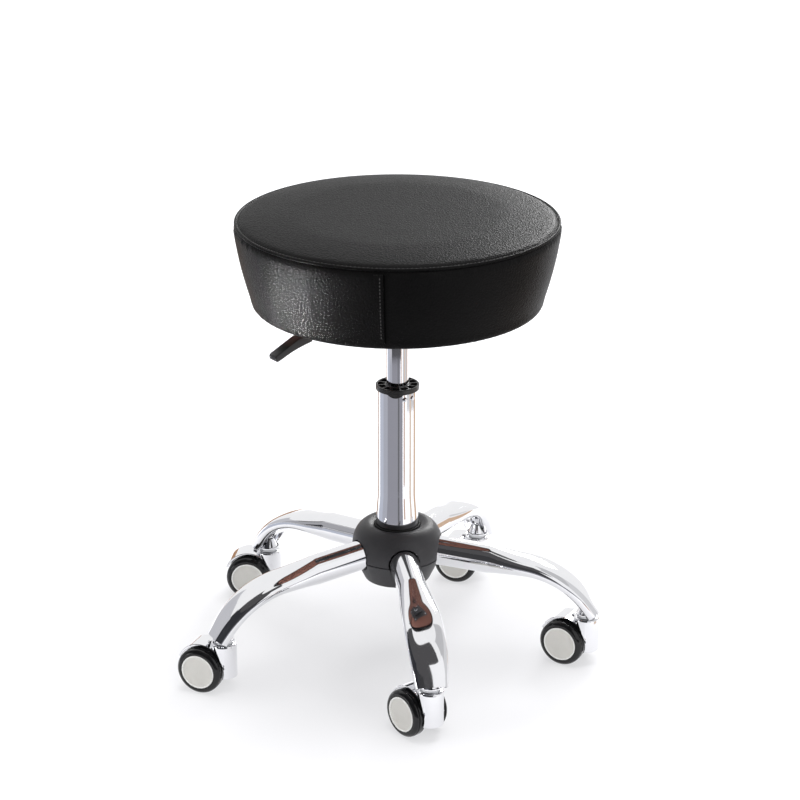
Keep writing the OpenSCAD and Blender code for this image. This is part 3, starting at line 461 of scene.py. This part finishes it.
def turned(name, outline, steps=96, closed=False, sweep=360.0):
    """A turned piece: its half outline, in millimetres, is drawn point by point and spun round Z."""
    bpy.ops.object.select_all(action="DESELECT")
    bpy.ops.mesh.primitive_plane_add(size=mm, location=(0, 0, 0))
    piece = bpy.context.object
    piece.name = piece.data.name = name
    bpy.ops.object.mode_set(mode="EDIT")
    bpy.ops.mesh.merge(type="CENTER")
    places = [Vector((r * mm, 0, z * mm)) for r, z in outline]
    bpy.ops.transform.translate(value=places[0])
    for before, after in zip(places, places[1:] + places[:1] if closed else places[1:]):
        bpy.ops.mesh.extrude_region_move(TRANSFORM_OT_translate={"value": after - before})
    bpy.ops.mesh.select_all(action="SELECT")
    bpy.ops.mesh.spin(steps=steps, angle=math.radians(sweep), center=(0, 0, 0), axis=(0, 0, -1))
    bpy.ops.mesh.select_all(action="SELECT")
    bpy.ops.mesh.remove_doubles(threshold=0.000004)
    bpy.ops.mesh.normals_make_consistent(inside=False)
    bpy.ops.object.mode_set(mode="OBJECT")
    return smoothed(piece)


def closed_ends(piece):
    """Faces over the open ends of a partly turned piece."""
    picked(piece)
    bpy.ops.object.mode_set(mode="EDIT")
    bpy.ops.mesh.select_all(action="DESELECT")
    bpy.ops.mesh.select_non_manifold(extend=False)
    bpy.ops.mesh.fill_holes(sides=0)
    bpy.ops.mesh.select_all(action="SELECT")
    bpy.ops.mesh.normals_make_consistent(inside=False)
    bpy.ops.object.mode_set(mode="OBJECT")
    return piece


def set_round(turn, r, z=0):
    """A place at a distance from the column's axis and a height, turned round the axis."""
    return Matrix.Rotation(turn, 4, "Z") @ Matrix.Translation((r * mm, 0, z * mm))


def made_one(pieces, name):
    picked(*pieces)
    bpy.ops.object.join()
    pieces[0].name = pieces[0].data.name = name
    return pieces[0]


bell = turned(
    "bell",
    [(0, 82.5), (5.55, 82.5), (5.55, 69.5), (13.5, 69.5), (14, 70), (14, 71.5), (13.5, 72), (12, 72), (7.6, 83)]
    + [(5.5, 83.6), (5.0, 84.6)]
    + arc((0, 88), 5, 0, 90, 10),
    steps=64,
)
bell.data.materials.append(chrome)
bells = [another(bell, f"socket_{i + 1}", set_round(leg_angle(i), stem_r_mm)) for i in range(5)]
bpy.data.objects.remove(bell)
sockets = made_one(bells, "turned_stem_sockets")
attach(sockets, "base")
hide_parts("stem_sockets")


# Hub covers: two moulded shells, a domed upper half over a tapered lower half, with round mouths for the
# legs and a fine shadow line where they meet.
cover_wall, leg_mouth_r = 2.4, 20.3
dome_r, dome_out, dome_up = 38, 20, 30


def dome(inset):
    """Points down the dome, from its top to its rim, on its face or inset from it."""
    angles = [math.pi / 2 * k / 16 for k in range(17)]
    out, up = dome_out - inset, dome_up - inset
    return [(dome_r + out * math.sin(a), leg_axis_z + up * math.cos(a)) for a in angles]


def eased(piece, width, segments):
    """Bevels a piece's sharp edges, the width in millimetres."""
    edge = piece.modifiers.new("edge", "BEVEL")
    edge.width = width * mm
    edge.segments = segments
    edge.limit_method = "ANGLE"
    edge.angle_limit = math.radians(50)
    apply_all(piece)


upper = turned(
    "hub_shell_upper",
    [(30.1, 172.1), (30.1, 178.2), (30.6, 179.2), (36, 181.9)]
    + dome(0)
    + [(57.4, 141.0), (57.0, 140.4), (55.0, 140.4)]
    + dome(cover_wall)[::-1]
    + [(32.5, 176.1), (32.5, 172.1)],
    steps=160,
    closed=True,
)
lower = turned(
    "hub_shell_lower",
    [(30, 107), (40.0, 107), (42.2, 107.7), (43.2, 109.4), (57.0, 138.6), (56.8, 139.4), (55.0, 139.6)]
    + [(55.0, 139.0), (41.0, 110.2), (34.8, 109.4), (30, 111.8)],
    steps=160,
    closed=True,
)
moulded, shader, place = finish("moulded_hub", {"Specular IOR Level": 0.4})
pebble = place.add(
    "ShaderNodeTexVoronoi", {"feature": "SMOOTH_F1"}, {"Vector": place, "Scale": 1300.0, "Smoothness": 0.7}
)
feed(shader, "Base Color", noise(place, 40, 3).between((0.030, 0.029, 0.032, 1), (0.040, 0.039, 0.043, 1)))
feed(shader, "Roughness", 0.40 + 0.14 * noise(place, 220, 3))
feed(shader, "Normal", bump(pebble, 0.28, 0.0003))
for shell, node in ((upper, "hub_cover_upper"), (lower, "hub_cover_lower")):
    for i in range(5):
        tool = bar(leg_mouth_r, 70, (0, 0, 62), 72)
        tool.data.transform(
            Matrix.Rotation(leg_angle(i), 4, "Z")
            @ Matrix.Translation((0, 0, leg_axis_z * mm))
            @ Matrix.Rotation(math.pi / 2 + leg_fall, 4, "Y")
        )
        joined(shell, tool, "DIFFERENCE")
    eased(shell, 0.5, 2)
    shell.data.materials.append(moulded)
    smoothed(shell, 40)
    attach(shell, "base")
    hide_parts(node)


# Column: drawn steel tube with a tapered, slightly flared foot, chromed and polished, open at the top.
column_r, column_wall, column_flare = 25, 1.5, 2
foot_z, flare_z, straight_z = 108, 188, 226


def column_at(z):
    """Radius of the column at a height."""
    if z < flare_z:
        return column_r + column_flare * (z - foot_z) / (flare_z - foot_z)
    if z < straight_z:
        turn = math.pi * (z - flare_z) / (straight_z - flare_z)
        return column_r + column_flare * (1 + math.cos(turn)) / 2
    return column_r


levels = [foot_z, 130, 150, 170, *range(flare_z, straight_z, 4), straight_z, 260, 300, 340, 363.9, 364.4]
column = turned(
    "chromed_column",
    [(4.2, 100), (24, 100)]
    + [(column_at(z), z) for z in levels]
    + [(24.6, 365), (23.7, 364.8)]
    + [(column_at(z) - column_wall, z) for z in levels[::-1][1:]]
    + [(22.5, 103.5), (4.2, 103.5)],
    steps=128,
    closed=True,
)
column.data.materials.append(chrome)
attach(column, "base")
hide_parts("column_tube")


# Guide bush: moulded sleeve pressed into the column's mouth, with a ribbed collar and a small tab that
# hangs over the chrome.
column_top, tab_az = 365, -104.9
tab_half_w, tab_drop = 10, 4
tab_r = (tab_half_w**2 + tab_drop**2) / (2 * tab_drop)
bush = turned(
    "moulded_bush",
    [(14.05, 295), (23.4, 295), (23.4, 365.05), (27.0, 365.05), (27.5, 365.5), (27.5, 371.0), (27.0, 371.5)]
    + [(25.4, 371.5), (24.9, 371.0), (24.9, 368.5), (16.6, 368.5), (16.6, 371.0), (16.2, 371.5), (14.5, 371.5)]
    + [(14.05, 371.0)],
    steps=96,
    closed=True,
)
bush_parts = [bush]
for k in range(12):
    rib = block((8.6, 1.7, 3.0), (20.75, 0, 369.8))
    rib.data.transform(Matrix.Rotation(math.radians(tab_az + (k + 0.5) * 30), 4, "Z"))
    bush_parts.append(rib)
tab = closed_ends(turned("tab", [(25.1, 361), (27.0, 361), (27.0, 366), (25.1, 366)], 24, True, 60))
tab.data.transform(Matrix.Rotation(math.radians(tab_az - 30), 4, "Z"))
curve = bar(tab_r, 60, (0, 0, 0), 96)
curve.data.transform(
    set_round(math.radians(tab_az), 25, column_top - tab_drop + tab_r) @ Matrix.Rotation(math.pi / 2, 4, "Y")
)
joined(tab, curve, "INTERSECT")
bush_parts.append(tab)
bush = made_one(bush_parts, "moulded_bush")
nylon, shader, place = finish("black_nylon", {"Specular IOR Level": 0.5})
feed(shader, "Base Color", noise(place, 80, 3).between((0.009, 0.009, 0.0095, 1), (0.017, 0.017, 0.018, 1)))
feed(shader, "Roughness", 0.28 + 0.16 * noise(place, 260, 3))
feed(shader, "Normal", bump(noise(place, 1500, 2), 0.18, 0.0002))
bush.data.materials.clear()
bush.data.materials.append(nylon)
smoothed(bush, 35)
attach(bush, "base")
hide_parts("guide_bush")


# Bush rivets: two bright domed rivets through the column wall, just under its mouth, that hold the bush.
head = turned("head", [(1.5, -1.5), (1.5, 0.2), (3.3, 0.25)] + arc((0, -0.35), 3.35, 12, 90, 8), steps=32)
heads = []
for k, side in enumerate((-77.3, -52)):
    outward = set_round(math.radians(side), 24.7, 358) @ Matrix.Rotation(math.pi / 2, 4, "Y")
    heads.append(another(head, f"rivet_{k + 1}", outward))
bpy.data.objects.remove(head)
rivets = made_one(heads, "domed_rivets")
rivets.data.materials.append(chrome)
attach(rivets, "base")
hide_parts("bush_rivets")


# Collar ring: soft black rubber ring that closes the gap between the column's foot and the hub cover. The
# bump stop on the rod is of the same rubber.
rubber, shader, place = finish("black_rubber", {"Specular IOR Level": 0.3})
feed(shader, "Base Color", noise(place, 90, 4).between((0.006, 0.006, 0.006, 1), (0.014, 0.014, 0.014, 1)))
feed(shader, "Roughness", 0.55 + 0.2 * noise(place, 400, 2))
feed(shader, "Normal", bump(noise(place, 1100, 3), 0.2, 0.0003))
collar = turned(
    "rubber_collar",
    [(27.05, 172.2), (29.98, 172.2), (29.98, 179.6)] + arc((28.52, 179.6), 1.46, 0, 180, 8),
    steps=96,
    closed=True,
)
collar.data.materials.append(rubber)
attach(collar, "base")
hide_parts("collar_ring")
coat(rubber, "bump_stop")


# Small steel: rod, clip, bearing races and balls, bolts, lever pin, valve pin and taper socket, bright
# zinc-plated and slightly dull.
zinc, shader, place = finish("plated_steel", {"Metallic": 1.0})
brushed = place.add("ShaderNodeMapping", {}, {"Vector": place, "Scale": (1.0, 1.0, 0.05)})
feed(shader, "Base Color", noise(place, 120, 4).between((0.50, 0.51, 0.53, 1), (0.66, 0.67, 0.68, 1)))
feed(shader, "Roughness", 0.26 + 0.2 * noise(brushed, 900, 3))
feed(shader, "Normal", bump(noise(place, 700, 2), 0.08, 0.0003))
coat(zinc, "piston_rod", "rod_clip", "thrust_washer", "thrust_bearing", "seat_bolts", "lever_pin")
coat(zinc, "release_button", "taper_socket")
coat(zinc, *[f"caster_{i}_pins" for i in range(1, 6)])


# Caster housing: die-cast boss in front for the stem, web between the wheels and a hood over them,
# chromed; modelled once on its own stem axis and set five times.
yaw = (-59.5, -39.5, -30, -17, -32.5)
trail, wheel_r = 25, 30
wheel_well_r, web_half, well_depth = 31.7, 10.8, 36
axle = Matrix.Translation((-trail * mm, 0, wheel_r * mm))


def caster_place(i):
    """Place of a caster, on its leg's stem and turned to its own heading."""
    return set_round(leg_angle(i), stem_r_mm) @ Matrix.Rotation(math.radians(yaw[i] + 90 - 72 * i), 4, "Z")


def disc(radius, low, high, edge=0.5):
    """A disc or a short bar across the caster, with softened edges, about the axle."""
    made = turned(
        "disc",
        [(0, low), (radius - edge, low)]
        + arc((radius - edge, low + edge), edge, -90, 0, 3)[1:]
        + arc((radius - edge, high - edge), edge, 0, 90, 3)
        + [(0, high)],
        steps=72,
    )
    made.data.transform(axle @ Matrix.Rotation(math.pi / 2, 4, "X"))
    return made


housing = turned(
    "housing",
    [(0, 20), (15.3, 20)]
    + arc((15.3, 21.2), 1.2, -90, 0, 5)[1:]
    + arc((13.5, 63), 3, 0, 90, 8)
    + [(5.55, 66), (5.55, 22.6), (0, 22.6)],
    steps=96,
)
joined(housing, disc(wheel_well_r, web_half, well_depth, 0.05), "DIFFERENCE")
joined(housing, disc(wheel_well_r, -well_depth, -web_half, 0.05), "DIFFERENCE")
joined(housing, disc(12, -3, 3), "UNION")
joined(housing, disc(7, -web_half, web_half), "UNION")
hood = turned(
    "hood",
    [(31.2, -15.2), (31.5, -15.5), (33.2, -15.5), (33.8, -14.9), (33.8, 14.9), (33.2, 15.5), (31.5, 15.5)]
    + [(31.2, 15.2), (31.2, 3), (20, 3), (20, -3), (31.2, -3)],
    steps=60,
    closed=True,
    sweep=150,
)
closed_ends(hood)
hood.data.transform(axle @ Matrix.Rotation(math.pi / 2, 4, "X") @ Matrix.Rotation(math.radians(8), 4, "Z"))
joined(housing, hood, "UNION")
knob = block((9, 7, 30.4), (-16.5, 0, 50))
eased(knob, 1.2, 3)
joined(housing, knob, "UNION")
housing.data.materials.clear()
housing.data.materials.append(chrome)
smoothed(housing, 38)
for i in range(5):
    made = another(housing, f"cast_housing_{i + 1}", caster_place(i))
    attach(made, f"caster_{i + 1}")
    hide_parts(f"caster_{i + 1}_housing")
bpy.data.objects.remove(housing)


# Wheels: glossy black nylon, two to a caster, each with a fine groove round its tread and a bevelled
# shoulder, turning on the plain axle.
wheel = turned(
    "wheel",
    [(3.05, 11.4), (7, 11.4), (7, 17), (25, 17), (25, 11.4), (29.3, 11.4), (29.8, 11.6), (30, 12.2)]
    + [(30, 19.5), (29.7, 19.8), (28.8, 20.0), (28.8, 20.8), (29.6, 21.0), (29.8, 21.4), (29.75, 22.0)]
    + [(29.3, 23.0), (28.2, 24.3), (26.9, 25.4), (26.2, 25.85), (25.6, 26.0), (22.75, 26), (22.4, 25.7)]
    + [(22.35, 24.2), (20.7, 24.2), (20.7, 19.5), (7, 19.5), (7, 24.2), (3.05, 24.2)],
    steps=120,
    closed=True,
)
gloss, shader, place = finish("gloss_black", {"Specular IOR Level": 0.4})
scuffs = noise(place, 260, 4, 0.65)
feed(shader, "Base Color", scuffs.between((0.004, 0.004, 0.0045, 1), (0.010, 0.010, 0.0105, 1)))
feed(shader, "Roughness", 0.05 + 0.10 * scuffs)
feed(shader, "Normal", bump(noise(place, 500, 2), 0.04, 0.0003))
wheel.data.materials.append(gloss)


# Caps: pale grey discs pressed into the wheels' faces, with a fine raised rim and a shallow dish; the rim is
# glossier and painted lighter, a painted highlight where its bevel catches the light.
rim_z = 25.8
cap = turned(
    "cap",
    [(0, 24.25), (22.0, 24.25), (22.3, 24.6), (22.3, 25.9), (22.1, 26.35), (21.7, 26.5), (20.9, 26.5)]
    + [(20.5, 26.2), (20.25, 25.75), (19.8, 25.6), (12, 25.55), (0, 25.55)],
    steps=96,
)
pale, shader, place = finish("pale_cap", {"Specular IOR Level": 0.35})
dust = noise(place, 150, 4, 0.6)
feed(shader, "Base Color", dust.between((0.62, 0.61, 0.577, 1), (0.67, 0.66, 0.627, 1)))
feed(shader, "Roughness", 0.42 + 0.15 * dust)
feed(shader, "Normal", bump(noise(place, 900, 2), 0.1, 0.0002))
cap.data.materials.append(pale)
# The rim's lighter colour is a painted highlight for the light its bevel catches; its glossier finish is its
# own.
rim, shader, place = finish("rim_painted_highlight", {"Specular IOR Level": 0.6})
feed(shader, "Base Color", noise(place, 150, 3).between((0.80, 0.80, 0.78, 1), (0.90, 0.90, 0.88, 1)))
feed(shader, "Roughness", 0.16 + 0.1 * noise(place, 300, 2))
feed(shader, "Normal", bump(noise(place, 900, 2), 0.05, 0.0002))
cap.data.materials.append(rim)
for face in cap.data.polygons:
    if face.center.z > rim_z * mm:
        face.material_index = 1
for i in range(5):
    for side, letter in ((1, "a"), (-1, "b")):
        stand = caster_place(i) @ axle @ Matrix.Rotation(side * math.pi / 2, 4, "X")
        for piece, kind, slot in ((wheel, "wheel", "gloss_black"), (cap, "cap", "cap_plastic")):
            made = another(piece, f"turned_{kind}_{i + 1}{letter}", stand)
            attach(made, f"caster_{i + 1}_roller_{letter}")
            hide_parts(f"caster_{i + 1}_{kind}_{letter}")
bpy.data.objects.remove(wheel)
bpy.data.objects.remove(cap)


# Gas cylinder: polished steel tube that slides in the bush, tapered at the top where the seat plate
# grips it.
cylinder = turned(
    "polished_cylinder",
    [(5.05, 199.6), (13.5, 199.6), (14, 200.1), (14, 260), (14, 300), (14, 340), (14, 380), (14, 410)]
    + [(14, 434), (13.25, 457.5), (12.9, 458), (3.05, 458), (3.05, 432), (12.5, 431.9), (12.5, 211.6)]
    + [(5.05, 211.6)],
    steps=96,
    closed=True,
)
cylinder.data.materials.append(chrome)
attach(cylinder, "seat")
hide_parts("gas_cylinder")


# Lever paddle: moulded grip on the bent rod, flat-sided, with a rounded tip and a hollowed underside.
lever_az, paddle_w = -152.7, 15
root_x, root_z, tip_x, tip_z, tip_r = 134, 457.7, 184.2, 446.6, 4.8
under_z, hollow = tip_z - tip_r, 2
side_view = [(root_x, 465.8), (135.5, 467.3), (154, 465.8)] + arc((tip_x, tip_z), tip_r, 65, -80, 10)
for k in range(1, 9):
    t = k / 9
    bow = hollow * math.sin(math.pi * t)
    side_view.append((tip_x + (root_x - tip_x) * t, under_z + (root_z - under_z) * t + bow))
side_view.append((root_x, root_z))
bpy.ops.object.select_all(action="DESELECT")
bpy.ops.mesh.primitive_circle_add(vertices=len(side_view), radius=mm, fill_type="NGON", location=(0, 0, 0))
paddle = bpy.context.object
paddle.name = paddle.data.name = "moulded_paddle"
for corner, (x, z) in zip(paddle.data.vertices, side_view):
    corner.co = (x * mm, -paddle_w / 2 * mm, z * mm)
bpy.ops.object.mode_set(mode="EDIT")
bpy.ops.mesh.select_all(action="SELECT")
bpy.ops.mesh.extrude_region_move(TRANSFORM_OT_translate={"value": (0, paddle_w * mm, 0)})
bpy.ops.mesh.select_all(action="SELECT")
bpy.ops.mesh.normals_make_consistent(inside=False)
bpy.ops.object.mode_set(mode="OBJECT")
eased(paddle, 1.6, 4)
paddle.data.transform(Matrix.Rotation(math.radians(lever_az), 4, "Z"))
paddle.data.materials.append(nylon)
smoothed(paddle, 50)
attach(paddle, "lever")
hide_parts("lever_paddle")


# Seat board and lining: a plywood disc under the foam, closed below with a thin red-brown lining cloth.
ply, shader, place = finish("birch_plywood", {"Specular IOR Level": 0.3})
plies = place.add("ShaderNodeMapping", {}, {"Vector": place, "Scale": (0.15, 1.0, 1.0)})
feed(shader, "Base Color", noise(plies, 90, 6, 0.6).between((0.42, 0.27, 0.14, 1), (0.62, 0.44, 0.26, 1)))
feed(shader, "Roughness", 0.6 + 0.2 * noise(plies, 200, 3))
feed(shader, "Normal", bump(noise(plies, 260, 4), 0.2, 0.0005))
coat(ply, "seat_board")
lining, shader, place = finish("brown_lining", {"Specular IOR Level": 0.2, "Sheen Weight": 0.2})
threads, cross = (
    place.add(
        "ShaderNodeTexWave",
        {"wave_type": "BANDS", "bands_direction": direction},
        {"Vector": place, "Scale": 260.0, "Distortion": 1.5, "Detail": 2.0},
    )
    for direction in ("X", "Y")
)
weave = threads * cross
faded = 0.5 * weave + 0.5 * noise(place, 45, 5)
feed(shader, "Base Color", faded.between((0.11, 0.046, 0.034, 1), (0.19, 0.083, 0.060, 1)))
feed(shader, "Roughness", 0.75 + 0.15 * noise(place, 300, 2))
feed(shader, "Normal", bump(weave, 0.35, 0.0003))
coat(lining, "underside_lining")


# Seat cushion: a foam drum covered in black vinyl, a crowned top panel sewn to a side band that draws in
# towards the bottom; the padding is simulated as cloth under pressure.
side_top, side_h, seat_top, flat_r = 580.85, 91.25, 595, 112
voxel, puff, last_frame = 0.0045, 0.0012, 20
hem_z, seam_r, seam_z = 0.492, 0.190, 0.575
vinyl, shader, place = finish("black_vinyl", {"Specular IOR Level": 0.04})
wrinkle = noise(place, 26, 5, 0.6)
pores = place.add(
    "ShaderNodeTexVoronoi", {"feature": "F1"}, {"Vector": place, "Scale": 430.0, "Randomness": 1.0}
)
creases = noise(place, 750, 3, 0.6)
feed(shader, "Base Color", wrinkle.between((0.0044, 0.0043, 0.0044, 1), (0.0070, 0.0068, 0.0069, 1)))
feed(shader, "Roughness", 0.30 + 0.10 * wrinkle + 0.10 * pores)
feed(shader, "Normal", bump(pores * 0.75 + creases * 0.25, 0.9, 0.0006))


def band_r(z):
    """Radius of the side band at a height, in millimetres."""
    t = (side_top - z) / side_h
    return 202.8 - 20.3 * t + 2.2 * math.sin(math.pi * t)


def band_line(steps):
    """Points down the side band, from the sewn edge to the hem."""
    drops = [side_top - side_h * k / steps for k in range(steps + 1)]
    return [(band_r(z), z) for z in drops]


crown = [(0, seat_top), (40, seat_top), (80, seat_top), (flat_r, seat_top)]
for k in range(1, 8):
    a = math.pi / 2 * k / 8
    crown.append((flat_r + 84 * math.sin(a), 588 + 7 * math.cos(a)))
cushion = turned(
    "vinyl_cushion",
    crown
    + [(196.3, 587.6), (197.4, 585.6), (198.6, 584.2), (201.2, 583.2), (202.6, 581.2)]
    + band_line(12)
    + arc((175.7, 487.2), 7.2, 0, -90, 8)[1:]
    + [(150, 480.0), (0, 480.0)],
    steps=128,
)
voxels = cushion.modifiers.new("voxels", "REMESH")
voxels.mode = "VOXEL"
voxels.voxel_size = voxel
apply_all(cushion)
held = cushion.vertex_groups.new(name="held")
for vertex in cushion.data.vertices:
    r, z = math.hypot(vertex.co.x, vertex.co.y), vertex.co.z
    if z < hem_z or (r > seam_r and z > seam_z):
        held.add([vertex.index], 1.0, "REPLACE")
before = [vertex.co.copy() for vertex in cushion.data.vertices]
cloth = cushion.modifiers.new("cloth", "CLOTH")
cloth.settings.use_pressure = True
cloth.settings.uniform_pressure_force = 4
cloth.settings.effector_weights.gravity = 0
cloth.settings.vertex_group_mass = "held"
cloth.point_cache.frame_start, cloth.point_cache.frame_end = 1, last_frame
for frame_number in range(1, last_frame + 1):
    scene.frame_set(frame_number)
apply_all(cushion)
for vertex, start in zip(cushion.data.vertices, before):
    moved = vertex.co - start
    if moved.length > puff:
        vertex.co = start + moved * (puff / moved.length)
scene.frame_set(1)
soften = cushion.modifiers.new("soften", "SMOOTH")
soften.factor = 0.5
soften.iterations = 2
finer = cushion.modifiers.new("finer", "SUBSURF")
finer.levels = finer.render_levels = 1
apply_all(cushion)
cushion.data.materials.append(vinyl)
smoothed(cushion, 60)
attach(cushion, "seat")
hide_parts("seat_cover", "foam_pad")


# Sewn edge: the narrow bead of vinyl turned out along the seam between the top panel and the side band.
bead = turned("sewn_bead", arc((199.5, 585.95), 1.9, 0, 360, 14)[:-1], steps=192, closed=True)
bead.data.materials.append(vinyl)
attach(bead, "seat")


# Lapped seam: where the side band's ends meet, one edge is folded over the other and sewn down.
lap_az, lap_w, under = -105.8, 11, 0.6
band_mid_r = 200


def band_strip(name, width, proud, middle, steps):
    """A strip down the side band: its width and how far it stands out in millimetres, and its direction."""
    line = band_line(14)
    outline = [(r + proud, z) for r, z in line] + [(r - under, z) for r, z in line[::-1]]
    strip = turned(name, outline, steps=steps, closed=True, sweep=math.degrees(width / band_mid_r))
    strip.data.transform(Matrix.Rotation(middle, 4, "Z"))
    return closed_ends(strip)


lap = band_strip("band_lap", lap_w, 2.1, math.radians(lap_az) - lap_w / 2 / band_mid_r, 8)
lap.data.materials.append(vinyl)
smoothed(lap, 40)
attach(lap, "seat")


# Lap groove: a narrow strip beside the folded edge, where the upper layer ends, coloured near black as painted
# shade for the groove's shadow.
groove_w = 1.7
groove = band_strip("lap_groove", groove_w, 1.5, math.radians(lap_az) + (lap_w + groove_w) / 2 / band_mid_r, 3)
# Its near-black colour, darker than the vinyl, is painted shade in the groove.
fold_painted_shade, shader, place = finish("fold_painted_shade", {"Specular IOR Level": 0.05})
groove_shade_noise = noise(place, 90, 3)
feed(shader, "Base Color", groove_shade_noise.between((0.0006, 0.0006, 0.0006, 1), (0.0016, 0.0016, 0.0016, 1)))
feed(shader, "Roughness", 0.7 + 0.2 * noise(place, 300, 2))
groove.data.materials.append(fold_painted_shade)
smoothed(groove, 40)
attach(groove, "seat")


# Stitches: rows of short polyester stitches along the lapped seam, the top seam and the hem.
stitch_half, stitch_thick, stitch_wide = 1.8, 0.7, 0.5
lap_pitch, lap_count, seam_count, hem_count = 4.6, 18, 240, 210
thread, shader, place = finish("black_thread", {"Specular IOR Level": 0.3})
twist = place.add(
    "ShaderNodeTexWave",
    {"wave_type": "BANDS", "bands_direction": "DIAGONAL"},
    {"Vector": place, "Scale": 900.0, "Distortion": 1.0},
)
feed(shader, "Base Color", twist.between((0.035, 0.035, 0.035, 1), (0.08, 0.079, 0.078, 1)))
feed(shader, "Roughness", 0.5 + 0.2 * twist)
feed(shader, "Normal", bump(twist, 0.3, 0.0002))
bpy.ops.object.select_all(action="DESELECT")
bpy.ops.mesh.primitive_uv_sphere_add(
    segments=8,
    ring_count=5,
    radius=1,
    location=(0, 0, 0),
    scale=(stitch_half * mm, stitch_thick * mm, stitch_wide * mm),
)
stitch = bpy.context.object
bpy.ops.object.transform_apply(location=True, rotation=True, scale=True)
stitch.data.materials.append(thread)
smoothed(stitch, 60)


def sewn(name, places):
    """A row of the same stitch, one at each place, made one piece."""
    row = made_one([another(stitch, f"{name}_{k}", place) for k, place in enumerate(places)], name)
    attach(row, "seat")


down = Matrix.Rotation(math.pi / 2 + math.radians(12), 4, "Y")
along = Matrix.Rotation(math.pi / 2, 4, "Z")
stitch_z = [576 - lap_pitch * k for k in range(lap_count)]
lap_turn = math.radians(lap_az) + 1.8 / 195
seam_turns = [math.tau * k / seam_count for k in range(seam_count)]
hem_turns = [math.tau * k / hem_count for k in range(hem_count)]
sewn("lap_stitches", [set_round(lap_turn, band_r(z) + 2.3, z) @ down for z in stitch_z])
sewn("top_seam_stitches", [set_round(turn, 197.3, 586.9) @ along for turn in seam_turns])
sewn("hem_stitches", [set_round(turn, 178.2, 482.2) @ along for turn in hem_turns])
bpy.data.objects.remove(stitch)
